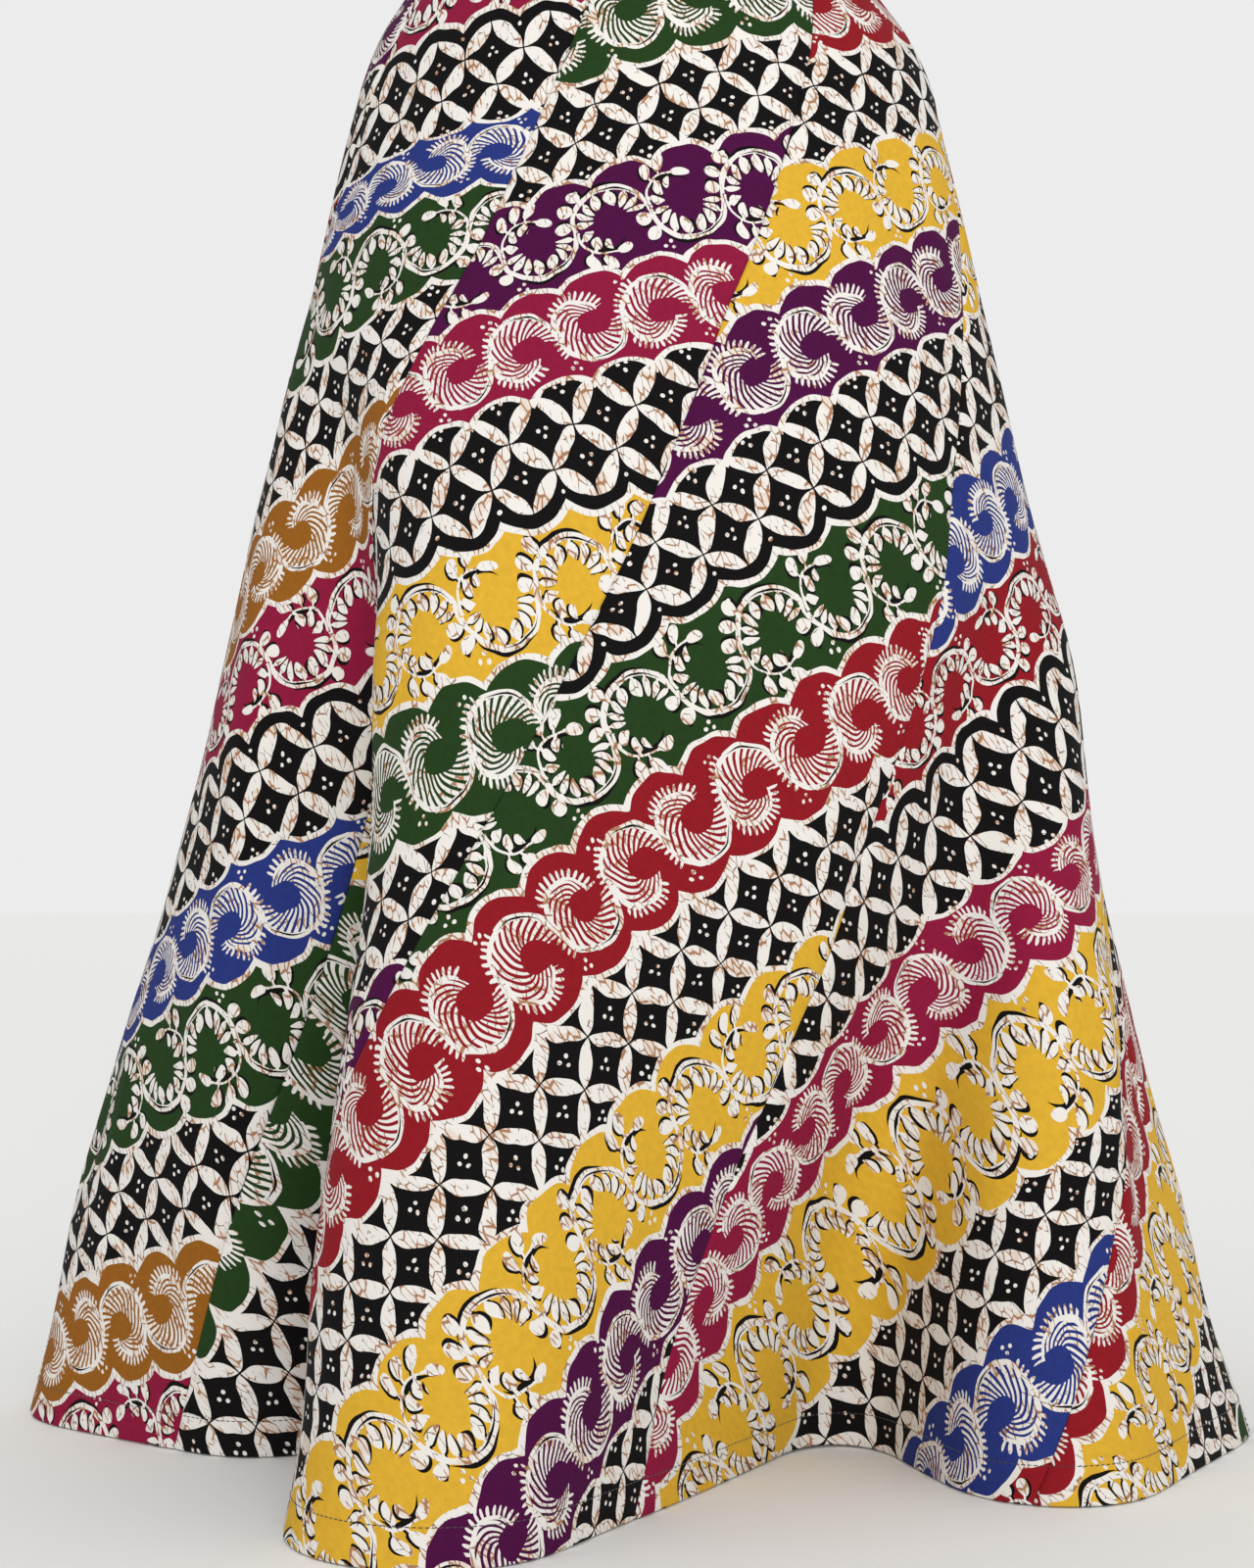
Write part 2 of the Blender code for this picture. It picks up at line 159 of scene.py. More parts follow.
def belt_angle(fold, following):
    """The direction, seen from both bends' middles, in which a line laid round them touches them."""
    across = following.x - fold.x
    along = following.y - fold.y
    apart = math.hypot(across, along)
    lean = (fold.radius * fold.side - following.radius * following.side) / apart
    return math.atan2(along, across) - math.acos(lean)


def hem_outline():
    """The hem from above, laid like a belt round the bends of the folds, and each bend's middle share."""
    leaving = [belt_angle(fold, FOLDS[(i + 1) % len(FOLDS)]) for i, fold in enumerate(FOLDS)]
    points = []
    middles = []
    for i, fold in enumerate(FOLDS):
        start = leaving[i - 1]
        sweep = (leaving[i] - start) % math.tau
        if fold.side == VALLEY:
            sweep -= math.tau
        steps = 2 * max(1, round(abs(sweep) * fold.radius / BEND_STEP))
        middles.append(len(points) + steps // 2)
        for k in range(steps + 1):
            angle = start + sweep * k / steps
            points.append((
                fold.x + fold.side * fold.radius * math.cos(angle),
                fold.y + fold.side * fold.radius * math.sin(angle),
            ))
    points = np.array(points)
    _, run = run_lengths(points)
    return points, np.array([run[i] for i in middles]) / run[-1]


def unit_wide(outline):
    """An outline from above, centred between its sides and one unit in half width."""
    left, right = outline[:, 0].min(), outline[:, 0].max()
    return (outline - [(left + right) / 2, 0.0]) / ((right - left) / 2)


SHARES = np.arange(ROUND) / ROUND


def unit_hem():
    """The hem, softened, one unit in half width, from its leftmost point round; and the folds' shares."""
    points, middles = hem_outline()
    even = at_shares(points, SHARES)
    even = np.stack([softened(even[:, axis], HEM_SOFTENING) for axis in range(2)], axis=1)
    first = int(np.argmin(even[:, 0]))
    return unit_wide(np.roll(even, -first, axis=0)), (middles - first / ROUND) % 1.0


UNIT_HEM, FOLD_SHARES = unit_hem()


def round_values(column):
    """A column of the folds' table, spread evenly from fold to fold all round."""
    order = np.argsort(FOLD_SHARES)
    places = FOLD_SHARES[order]
    values = np.array([getattr(fold, column) for fold in FOLDS], float)[order]
    places = np.concatenate([places - 1, places, places + 1])
    return softened(np.interp(SHARES, places, np.tile(values, 3)), FOLD_SOFTENING)


FOLD_START = round_values("start")
FOLD_GROWTH = round_values("growth")
FOLD_DRIFT = round_values("drift") / 360


def hip_oval(front, back):
    """The oval of the body at a level, one unit in half width, by equal lengths from the start point."""
    angles = np.radians(HIP_START) + np.arange(OVAL_ROUND) * math.tau / OVAL_ROUND
    depth = np.where(np.cos(angles) > 0, front, back)
    oval = np.stack([np.sin(angles), -depth * np.cos(angles)], axis=1)
    return at_shares(oval, SHARES)


def level_outline(drop):
    """The cloth's outer face at a level, from above."""
    along = np.clip((drop - FOLD_START) / (LENGTH - FOLD_START), 0, 1)
    share = (1 + FOLD_EASE) * along ** (FOLD_GROWTH + 1) / (along + FOLD_EASE)
    rise = 1 - min(1.0, max(0.0, (drop - DRIFT_TOP) / (LENGTH - DRIFT_TOP)))
    folded = np.stack([
        np.interp((SHARES + FOLD_DRIFT * rise) % 1.0, SHARES, UNIT_HEM[:, axis], period=1.0)
        for axis in range(2)
    ], axis=1)
    oval = hip_oval(level_value(drop, "front"), level_value(drop, "back"))
    mixed = unit_wide((1 - share)[:, None] * oval + share[:, None] * folded)
    return mixed * level_value(drop, "half_width") + [level_value(drop, "middle"), 0.0]


def cloth_points(drop, shares):
    """Points of the cloth's outer face at a level, by their shares of the way round."""
    flat = at_shares(level_outline(drop), shares)
    return np.column_stack([flat, np.full(len(flat), -drop)])


def cloth_normals(drop, shares):
    """The cloth's outward directions at the same points."""
    upper, lower = max(0.0, drop - NUDGE), min(LENGTH, drop + NUDGE)
    down = cloth_points(lower, shares) - cloth_points(upper, shares)
    round_way = cloth_points(drop, shares + NUDGE) - cloth_points(drop, shares - NUDGE)
    normal = np.cross(down, round_way)
    return normal / np.linalg.norm(normal, axis=1)[:, None]


def girth(drop):
    """The length of the cloth all round at a level."""
    _, run = run_lengths(level_outline(drop))
    return run[-1]


# The batik cotton. A plain-woven cotton printed with wax-resist bands: running feather scrolls, running
# leaf scrolls and a lattice of four-petalled flowers, each band edged by a scalloped line of bare cloth.
# The wax leaves the figures off-white and lets fine lines of brown and grey dye in where it has cracked.

BAND = 54.0              # millimetres of a band's width, as the pattern is drawn
BAND_KINDS = 3.0         # feather scrolls, then the lattice, then leaf scrolls
REPEAT = 6.0             # bands until the dyes come round again
LOBE = 31.5              # from lobe to lobe of a scalloped edge, and from flower to flower
LOBE_DEPTH = 6.8
LOBE_ROUNDNESS = 2.3
EDGE_LINE = 1.25         # half the width of the bare line along an edge, in the middle of a lobe
EDGE_CUSP = 1.1          # and what it gains up to the cusp between two lobes
UNSTEADY = 4.0           # how far the waxed lines wander from true
WANDER_SCALE = 0.06
NOISE_SPAN = (0.3, 0.7)  # between these lies nearly all of a noise

LATTICE_ROW = 16.8       # from row to row of the flower lattice
LATTICE_FIRST = 0.3      # from a band's edge to its first row of cells
LATTICE_MIDDLE = 1.5     # the lattice's middle line, in rows
LATTICE_REACH = 2.0      # and how many rows it reaches to each side
MARGIN_KIND = 4.0        # the lattice band that has a black margin along its edges
MARGIN = 1.2             # rows from the middle line to the margin
MARGIN_DOT = 8.0         # how far out the margin's only dot lies
CUSP = 2.2               # depth of bare cloth at the upper cusps of the other lattice band
PETAL = 0.160            # half a petal's width, in sides of a cell
PETAL_REACH = 0.96       # how much of a side of its cell a petal takes
PETAL_ROUNDNESS = 2.8
PETAL_UNEVEN = 0.12
LONE_DOT = (0.4, 2.2)
CELL_DOTS = ((-2.0, -1.0), (2.1, -1.7), LONE_DOT)
DOT = 1.0                # radius
FAR = 100.0              # further than any figure reaches

HALF_SCROLL = 37.5       # half a period of a leaf scroll
SCROLL_RADIUS = HALF_SCROLL / 2
CURL_RADIUS = 12.7
CURL_MIDDLE = (-5.2, -4.3)
CURL_FROM = -0.35        # where a curl leaves its rib, in radians of its turn
CURL_ENDS = (2.45, 3.05)  # where the feather curls end, between these from scroll to scroll
CURL_BEAT = 2.1          # radians of the beat from one scroll to the next
LEAF_CURL_END = 1.67
LEAF_CURL_MORE = 0.42    # how much further every third one goes
EYE_MIDDLE = (1.0, -1.5)  # the ground left open inside each curl
EYE_LENGTH = (0.8, 5.0)
SCROLL_DOTS = ((-16.6, 20.2), (-12.7, 21.6), (-13.6, 18.0))

# Sizes that change along a turn or a depth: where that begins and ends, and the size at both
FAN_EDGE = (3.85, 5.5, 19.4, 9.0)
FAN_LEAN = (0.0, 3.6, 0.097, 0.317)
FEATHER_WIDTH = (0.0, 13.0, 0.90, 0.62)
CURL_STEM = (0.0, 2.8, 1.5, 0.7)

# Sizes that the two scrolls have otherwise, those of the feather scrolls first
SQUEEZE = (1.10, 1.0)    # how much closer the scrolls are set
FAN_PITCH = (2.95, 6.30)  # from tooth to tooth, or from leaf to leaf
EYE_SIZE = (7.0, 3.0)
TIP_MIDDLE = (2.4, 5.8)  # how far from its rib a tooth or leaf is widest
TIP_HALF = (3.0, 3.8)    # half its length
TIP_WIDTH = (0.80, 2.50)  # half its width
RIB_TEETH = (40.0, 17.0)  # as many as would go round a whole rib
CURL_TEETH = (32.0, 14.0)
CURL_TEETH_FROM = (0.5, 0.78)
RIB_INNER = (-1.5, -1.4)  # how far the rib's line reaches inwards
RIB_OUTER = (1.0, 1.2)   # and outwards
CURL_THIN = (1.0, 0.45)  # how thick a curl's stem is, as a share of the feather curl's

STALK = 0.6              # half the width of a leaf's stalk
LEAF_SWAY = -0.034       # how the leaves' roots crowd and part along a stem
STEM_LEAVES = 8          # along a half scroll
FAN_ROOTS = (5.54, -0.466)  # roots to a radian of the eye's turn, and how that falls as it turns
CURL_LEAVES = (1.2, -0.25, 0.07)  # leaves to a radian of the curl's turn, the first one's place, their lean
TEETH_FROM = 2.45        # turn of a rib past which short teeth stand outside it
TEETH_EARLIER = 0.43     # and how much sooner they start on the stem's left
CURL_TEETH_LEAN = 0.05   # in pitches to the millimetre
TEETH_REACH = 3.0        # beyond the curl, where their pitch is measured
CURL_LEAF_SHORTER = 1.25  # leaves that root on the curl are shorter than those on the rib
FAN_LEAF_LONGER = 0.94   # and all of the fan's a little longer than those outside it
RIB_TEETH_START = 1.0    # how far along their form the rib's outer teeth begin
END_LEAF_START = 0.5     # and the leaf at a curl's end
END_LEAN = 0.25          # how much that leaf turns inwards
CURL_STEM_FROM = -0.3    # turn from which the curl's stem is drawn
FAN_SHADE = 0.20         # shadows lie this share of the pitch beside their teeth
RIB_SHADE = 0.18

BLACK_DYE = "#0D0B0B"
BARE_CLOTH = "#D6D2CC"
BROWN_STAIN = "#B27F3C"
GREY_CRACK = "#4A443F"
BROWN_CRACK = "#8E5724"
MOTTLE = (0.94, 1.05)    # how unevenly a dye took
STAIN_DEPTH = 0.30       # how much of a stain's or a crack's own colour shows
CRACK_DEPTH = 0.85
MOTTLE_SCALE = 0.30      # these scales count to the millimetre
STAIN_SCALE = 0.10
CRACK_GRID = (0.34, 0.13, 1.0)
DYE_DETAIL = 3.0         # octaves of both noises
STAIN_DISTORTION = 0.8

# How stained, how rusty and how cracked: from one value of the stain's noise to another, and both shares
STAINED = (0.55, 0.68, 0.0, 0.85)
RUSTED = (0.47, 0.55, 0.0, 1.0)
CRACKED = (0.42, 0.62, 0.0, 0.11)
GROUND_KINDS = (0.0, 2.0, 3.0, 5.0)  # the bands of a repeat that have a dye of their own, in the dyes' order


def linear(hex_colour):
    """An sRGB hex value as a linear colour."""
    parts = [int(hex_colour[i:i + 2], 16) / 255 for i in (1, 3, 5)]
    return (*[c / 12.92 if c <= 0.04045 else ((c + 0.055) / 1.055) ** 2.4 for c in parts], 1.0)


def adder(tree, prefix="ShaderNode"):
    """The function that adds a node to a tree: kind and operation, inputs as links or values, settings."""
    def add(kind, *inputs, named=None, **settings):
        kind, _, operation = kind.partition(" ")
        node = tree.nodes.new(prefix + kind)
        if operation:
            node.operation = operation
        for setting, value in settings.items():
            setattr(node, setting, value)
        for key, value in [*enumerate(inputs), *(named or {}).items()]:
            if value is None:
                continue
            if isinstance(value, bpy.types.Node):
                value = value.outputs[0]
            if isinstance(value, bpy.types.NodeSocket):
                tree.links.new(value, node.inputs[key])
            else:
                node.inputs[key].default_value = value
        return node
    return add


batik = bpy.data.node_groups.new("batik pattern", "ShaderNodeTree")
for entry in ("first feather ground", "first leaf ground", "second feather ground", "second leaf ground"):
    batik.interface.new_socket(entry, in_out="INPUT", socket_type="NodeSocketColor")
batik.interface.new_socket("Colour", in_out="OUTPUT", socket_type="NodeSocketColor")
add = adder(batik)
dyes = adder(batik, "Node")("GroupInput")

# Where a point lies on the cloth, in millimetres along and down the bands, drawn a little unsteadily
place = add("UVMap", uv_map="cloth")
flat = add("VectorMath MULTIPLY", place, (1000.0, BAND, 1.0))
shake = add("TexNoise", flat, None, WANDER_SCALE, 1.0, noise_dimensions="2D")
wander = add("VectorMath SUBTRACT", shake.outputs["Color"], (0.5, 0.5, 0.0))
drawn = add("VectorMath MULTIPLY_ADD", wander, (UNSTEADY, UNSTEADY, 0.0), flat)
along_down = add("SeparateXYZ", drawn)
u = along_down.outputs[0]
v = along_down.outputs[1]


def apart(this, other):
    """How far one value is from another."""
    return add("Math ABSOLUTE", add("Math SUBTRACT", this, other))


def any_of(*figures):
    """Where any of some figures shows."""
    shown = figures[0]
    for figure in figures[1:]:
        shown = add("Math MAXIMUM", shown, figure)
    return shown


def all_of(*figures):
    """Where all of some figures or conditions meet."""
    shown = figures[0]
    for figure in figures[1:]:
        shown = add("Math MULTIPLY", shown, figure)
    return shown


def length_of(across_way, up_way):
    """The distance of a point from the place that both its coordinates are measured from."""
    return add("VectorMath LENGTH", add("CombineXYZ", across_way, up_way)).outputs["Value"]


# The scalloped edges between the bands, and which band a point belongs to
edge = add("Math ROUND", add("Math DIVIDE", v, BAND))
edge_kind = add("Math FLOORED_MODULO", edge, REPEAT)
bulges_down = add("Math COMPARE", apart(edge_kind, BAND_KINDS), 2.0, 0.5)
direction = add("Math MULTIPLY_ADD", bulges_down, 2.0, -1.0)
lobe_place = add("Math PINGPONG", u, LOBE / 2)
lobe_share = add("Math MULTIPLY", lobe_place, 2 / LOBE)
lobe_fall = add("Math POWER", lobe_share, LOBE_ROUNDNESS)
lobe_height = add("Math MULTIPLY_ADD", lobe_fall, -LOBE_DEPTH, LOBE_DEPTH / 2)
edge_line = add("Math MULTIPLY", lobe_height, direction)
from_edge = add("Math MULTIPLY_ADD", edge, -BAND, v)
past_line = add("Math SUBTRACT", from_edge, edge_line)
below = add("Math GREATER_THAN", past_line, 0.0)
band = add("Math ADD", add("Math SUBTRACT", edge, 1.0), below)
band_kind = add("Math FLOORED_MODULO", band, BAND_KINDS)
is_lattice = add("Math COMPARE", band_kind, 1.0, 0.5)
is_leaf = add("Math COMPARE", band_kind, 2.0, 0.5)
edge_width = add("Math MULTIPLY_ADD", lobe_fall, EDGE_CUSP, EDGE_LINE)
edge_white = add("Math LESS_THAN", add("Math ABSOLUTE", past_line), edge_width)
ground_kind = add("Math FLOORED_MODULO", band, REPEAT)

# The lattice: cells on the diagonal, each a circle that shares a petal with each of its four neighbours
band_top = add("Math MULTIPLY_ADD", band, -BAND, v)
row_place = add("Math MULTIPLY", add("Math SUBTRACT", band_top, LATTICE_FIRST), 0.5 / LATTICE_ROW)
cell_down = add("Math MULTIPLY_ADD", u, 1 / LOBE, row_place)
cell_up = add("Math SUBTRACT", cell_down, add("Math MULTIPLY", row_place, 2.0))
whole_down = add("Math ROUND", cell_down)
whole_up = add("Math ROUND", cell_up)
in_down = add("Math SUBTRACT", cell_down, whole_down)
in_up = add("Math SUBTRACT", cell_up, whole_up)
row = add("Math SUBTRACT", whole_down, whole_up)
has_margin = add("Math COMPARE", ground_kind, MARGIN_KIND, 0.5)
row_side = add("Math MULTIPLY", add("Math SUBTRACT", row, LATTICE_MIDDLE), has_margin)
row_inside = add("Math LESS_THAN", add("Math ABSOLUTE", row_side), LATTICE_REACH)
petals = []
petal_size = add("MapRange", shake.outputs["Fac"], *NOISE_SPAN, PETAL * (1 - PETAL_UNEVEN),
                 PETAL * (1 + PETAL_UNEVEN))
for this, other, turn in ((in_down, in_up, 1.0), (in_up, in_down, -1.0)):
    from_side = add("Math SUBTRACT", 0.5, add("Math ABSOLUTE", this))
    out_along = add("Math MULTIPLY", add("Math ABSOLUTE", other), 2 / PETAL_REACH)
    narrowing = add("Math SUBTRACT", 1.0, add("Math POWER", out_along, PETAL_ROUNDNESS))
    within = add("Math LESS_THAN", from_side, add("Math MULTIPLY", narrowing, petal_size))
    way = add("Math MULTIPLY", add("Math SIGN", this), row_side)
    kept = add("Math LESS_THAN", add("Math MULTIPLY", way, turn), 1.0)
    petals.append(all_of(within, kept, row_inside))
at_cusp = add("Math GREATER_THAN", add("Math LESS_THAN", band_top, CUSP), has_margin)
cell_x = add("Math MULTIPLY", add("Math ADD", in_down, in_up), LOBE / 2)
cell_y = add("Math MULTIPLY", add("Math SUBTRACT", in_down, in_up), LATTICE_ROW)
in_margin = add("Math GREATER_THAN", row_side, MARGIN)
cell_y = add("Math MULTIPLY_ADD", in_margin, MARGIN_DOT, cell_y)
cell = add("CombineXYZ", cell_x, cell_y)
dot_reach = FAR
for dot in CELL_DOTS:
    reach = add("VectorMath DISTANCE", cell, (*dot, 0.0)).outputs["Value"]
    if dot is not LONE_DOT:
        reach = add("Math MULTIPLY_ADD", in_margin, FAR, reach)
    dot_reach = add("Math MINIMUM", dot_reach, reach)
cell_dot = add("Math LESS_THAN", dot_reach, DOT)
lattice_white = all_of(any_of(*petals, at_cusp, cell_dot), is_lattice)


def by_scroll(feather, leaf):
    """A size that a leaf scroll has otherwise than a feather scroll."""
    return add("Math MULTIPLY_ADD", is_leaf, leaf - feather, feather)


# The scrolls: half circles of a rib, over and under the band's middle in turn. A curl leaves the rib on its
# right and turns back below it, and a fan of swept teeth or leaves fills both, round an open eye of ground
middle_up = add("Math SUBTRACT", BAND / 2, band_top)
run = add("Math MULTIPLY", by_scroll(*SQUEEZE), u)
half = add("Math ROUND", add("Math DIVIDE", run, HALF_SCROLL))
odd = add("Math FLOORED_MODULO", half, 2.0)
x = add("Math MULTIPLY_ADD", half, -HALF_SCROLL, run)
y = add("Math MULTIPLY", add("Math MULTIPLY_ADD", odd, -2.0, 1.0), middle_up)
under = add("Math LESS_THAN", y, 0.0)
over = add("Math SUBTRACT", 1.0, under)
rib_x = add("Math MULTIPLY_ADD", under, -HALF_SCROLL, x)
rib_y = add("Math ABSOLUTE", y)
rib_turn = add("Math ARCTAN2", rib_y, rib_x)
off_rib = add("Math SUBTRACT", length_of(rib_x, rib_y), SCROLL_RADIUS)
inside = add("Math LESS_THAN", off_rib, 0.0)
from_rib = add("Math ABSOLUTE", off_rib)
curl_x = add("Math SUBTRACT", x, CURL_MIDDLE[0])
curl_y = add("Math SUBTRACT", y, CURL_MIDDLE[1])
curl_turn = add("Math ARCTAN2", add("Math MULTIPLY", curl_y, -1.0), add("Math MULTIPLY", curl_x, -1.0))
curl_turn = add("Math WRAP", curl_turn, math.tau + CURL_FROM, CURL_FROM)
curl_in = add("Math SUBTRACT", CURL_RADIUS, length_of(curl_x, curl_y))
curl_inside = add("Math GREATER_THAN", curl_in, 0.0)
from_curl = add("Math ABSOLUTE", curl_in)
beat = add("Math SINE", add("Math MULTIPLY", half, CURL_BEAT))
feather_end = add("MapRange", beat, -1.0, 1.0, *CURL_ENDS)
every_third = add("Math LESS_THAN", add("Math FLOORED_MODULO", half, 3.0), 0.5)
leaf_end = add("Math MULTIPLY_ADD", every_third, LEAF_CURL_MORE, LEAF_CURL_END)
curl_end = add("Mix", is_leaf, None, feather_end, leaf_end)
before_end = add("Math LESS_THAN", curl_turn, curl_end)

# The fan turns about the eye like a pinwheel: its teeth lie nearly level on the curl's side and stand
# nearly straight on the rib's falling side
eye_x = add("Math SUBTRACT", x, EYE_MIDDLE[0])
eye_y = add("Math SUBTRACT", y, EYE_MIDDLE[1])
eye_turn = add("Math FLOORED_MODULO", add("Math ARCTAN2", eye_y, eye_x), math.tau)
fan_edge = add("MapRange", eye_turn, *FAN_EDGE)
fan_depth = add("Math SUBTRACT", fan_edge, length_of(eye_x, eye_y))
fan_lean = add("MapRange", eye_turn, *FAN_LEAN)
root_pace = add("Math MULTIPLY_ADD", eye_turn, FAN_ROOTS[1], FAN_ROOTS[0])
fan_roots = add("Math MULTIPLY", eye_turn, root_pace)
fan_turns = add("Math MULTIPLY_ADD", add("Math MULTIPLY", fan_lean, fan_depth), -1.0, fan_roots)
stem_sway = add("Math SINE", add("Math MULTIPLY", rib_turn, 2.0))
stem_turns = add("Math MULTIPLY_ADD", add("Math MULTIPLY", stem_sway, off_rib), LEAF_SWAY, rib_turn)
stem_leaves = add("Math MULTIPLY_ADD", stem_turns, STEM_LEAVES / math.pi, 0.5)
curl_leaves = add("Math MULTIPLY_ADD", curl_turn, CURL_LEAVES[0], CURL_LEAVES[1])
curl_leaves = add("Math MULTIPLY_ADD", curl_in, CURL_LEAVES[2], curl_leaves)
leaf_phase = add("Mix", under, None, stem_leaves, curl_leaves)
fan_phase = add("Mix", is_leaf, None, fan_turns, leaf_phase)
fan_side = any_of(all_of(inside, over), all_of(curl_inside, under))
eye_long = add("Math SUBTRACT", x, add("Clamp", x, *EYE_LENGTH))
past_eye = add("Math GREATER_THAN", length_of(eye_long, eye_y), by_scroll(*EYE_SIZE))
past_end = all_of(add("Math GREATER_THAN", curl_turn, curl_end), is_leaf, under)
fan_shown = add("Math GREATER_THAN", all_of(fan_side, past_eye), past_end)
fan_off = add("Mix", under, None, from_rib, add("Math MULTIPLY", from_curl, CURL_LEAF_SHORTER))

# A tooth is long and thin, a leaf a round drop on a stalk: the half width at each distance from the rib
tip_middle = by_scroll(*TIP_MIDDLE)
tip_half = by_scroll(*TIP_HALF)
tip_width = by_scroll(*TIP_WIDTH)


def half_width(distance):
    """The half width of a tooth or leaf at a distance from its rib."""
    off = add("Math DIVIDE", add("Math SUBTRACT", distance, tip_middle), tip_half)
    rest = add("Math SUBTRACT", 1.0, add("Math MULTIPLY", off, off))
    swell = add("Math MULTIPLY", add("Math SQRT", add("Math MAXIMUM", rest, 0.0)), tip_width)
    stalk = add("Math MULTIPLY", add("Math LESS_THAN", off, 0.0), STALK)
    return add("Math MAXIMUM", swell, stalk)


fan_width = add("Mix", is_leaf, None, add("MapRange", fan_depth, *FEATHER_WIDTH),
                half_width(add("Math MULTIPLY", fan_off, FAN_LEAF_LONGER)))

# Outside, short teeth stand along the curl and along the left of every stem
rib_count = by_scroll(*RIB_TEETH)
rib_pitch = add("Math DIVIDE", math.tau * SCROLL_RADIUS, rib_count)
rib_phase = add("Math MULTIPLY", add("Math MULTIPLY", rib_turn, rib_count), 1 / math.tau)
same_side = add("Math COMPARE", odd, under, 0.5)
teeth_from = add("Math MULTIPLY_ADD", same_side, -TEETH_EARLIER, TEETH_FROM)
rib_shown = add("Math GREATER_THAN", add("Math GREATER_THAN", rib_turn, teeth_from), inside)
rib_width = half_width(add("Math ADD", from_rib, RIB_TEETH_START))
curl_count = by_scroll(*CURL_TEETH)
curl_pitch = add("Math DIVIDE", math.tau * (CURL_RADIUS + TEETH_REACH), curl_count)
curl_phase = add("Math MULTIPLY", add("Math MULTIPLY", curl_turn, curl_count), 1 / math.tau)
curl_phase = add("Math MULTIPLY_ADD", curl_in, CURL_TEETH_LEAN, curl_phase)
past_start = add("Math GREATER_THAN", curl_turn, by_scroll(*CURL_TEETH_FROM))
curl_shown = add("Math GREATER_THAN", all_of(past_start, before_end), curl_inside)

# Each row of teeth or leaves: a phase that is whole at each one, their pitch and half width, where they
# show, and how far beside them their shadows lie
Teeth = namedtuple("Teeth", "phase pitch width shown shade")
TEETH_ROWS = (
    Teeth(fan_phase, by_scroll(*FAN_PITCH), fan_width, fan_shown, FAN_SHADE),
    Teeth(rib_phase, rib_pitch, rib_width, rib_shown, RIB_SHADE),
    Teeth(curl_phase, curl_pitch, half_width(from_curl), curl_shown, RIB_SHADE),
)


def drawn_teeth(teeth, shift):
    """A row of teeth or leaves, moved along by a share of their pitch."""
    moved = add("Math ADD", teeth.phase, shift)
    off = add("Math MULTIPLY", add("Math PINGPONG", moved, 0.5), teeth.pitch)
    return all_of(add("Math LESS_THAN", off, teeth.width), teeth.shown)


# A curl of the leaf scrolls ends in a leaf that lies along it
along_end = add("Math MULTIPLY", add("Math SUBTRACT", curl_turn, curl_end), CURL_RADIUS)
end_off = add("Math ABSOLUTE", add("Math MULTIPLY_ADD", along_end, END_LEAN, curl_in))
end_width = half_width(add("Math ADD", along_end, END_LEAF_START))
past_curl = add("Math GREATER_THAN", along_end, 0.0)
end_leaf = all_of(add("Math LESS_THAN", end_off, end_width), past_curl, is_leaf)

# The rib and the curl's own stem, thick where the teeth root on them and thin on the leaf scrolls
rib_line = all_of(add("Math GREATER_THAN", off_rib, by_scroll(*RIB_INNER)),
                  add("Math LESS_THAN", off_rib, by_scroll(*RIB_OUTER)))
stem_width = add("Math MULTIPLY", add("MapRange", curl_turn, *CURL_STEM), by_scroll(*CURL_THIN))
past_rib = add("Math GREATER_THAN", curl_turn, CURL_STEM_FROM)
curl_line = all_of(add("Math LESS_THAN", from_curl, stem_width), past_rib, before_end)

# Three small dots stand beside every half scroll
dots = FAR
for dot in SCROLL_DOTS:
    reach = add("VectorMath DISTANCE", add("CombineXYZ", x, y), (*dot, 0.0)).outputs["Value"]
    dots = add("Math MINIMUM", dots, reach)
dots = add("Math LESS_THAN", dots, DOT)

on_ground = add("Math SUBTRACT", 1.0, is_lattice)
teeth_white = [drawn_teeth(teeth, 0.0) for teeth in TEETH_ROWS]
scroll_white = all_of(any_of(dots, *teeth_white, rib_line, curl_line, end_leaf), on_ground)

# Black: an arc in the widened rib, and a shadow beside each leaf and stem of the leaf scrolls
Crescent = namedtuple("Crescent", "off turn thickness thinning")
STEM_SHADE = Crescent(1.9, 1.7, 1.5, 1.9)
CURL_SHADE = Crescent(1.4, 1.5, 1.7, 1.6)
ARC = Crescent(-0.5, 1.15, 0.55, 0.8)
HALO = (1.5, 0.72)       # the bare cloth round the arc, to each side and along it


def crescent_beside(off, turn, size):
    """A crescent beside a line, thickest at one turn of it and thinning to both ends."""
    width = add("Math MULTIPLY_ADD", apart(turn, size.turn), -size.thinning, size.thickness)
    return add("Math LESS_THAN", apart(off, size.off), width)


shadows = [drawn_teeth(teeth, teeth.shade) for teeth in TEETH_ROWS]
shadows.append(crescent_beside(off_rib, rib_turn, STEM_SHADE))
shadows.append(crescent_beside(curl_in, curl_turn, CURL_SHADE))
shadow = all_of(any_of(*shadows), is_leaf)
arc = all_of(crescent_beside(off_rib, rib_turn, ARC), on_ground)
arc_halo = all_of(add("Math LESS_THAN", from_rib, HALO[0]),
                  add("Math LESS_THAN", apart(rib_turn, ARC.turn), HALO[1]), on_ground)
white = any_of(edge_white, lattice_white, scroll_white, arc_halo)

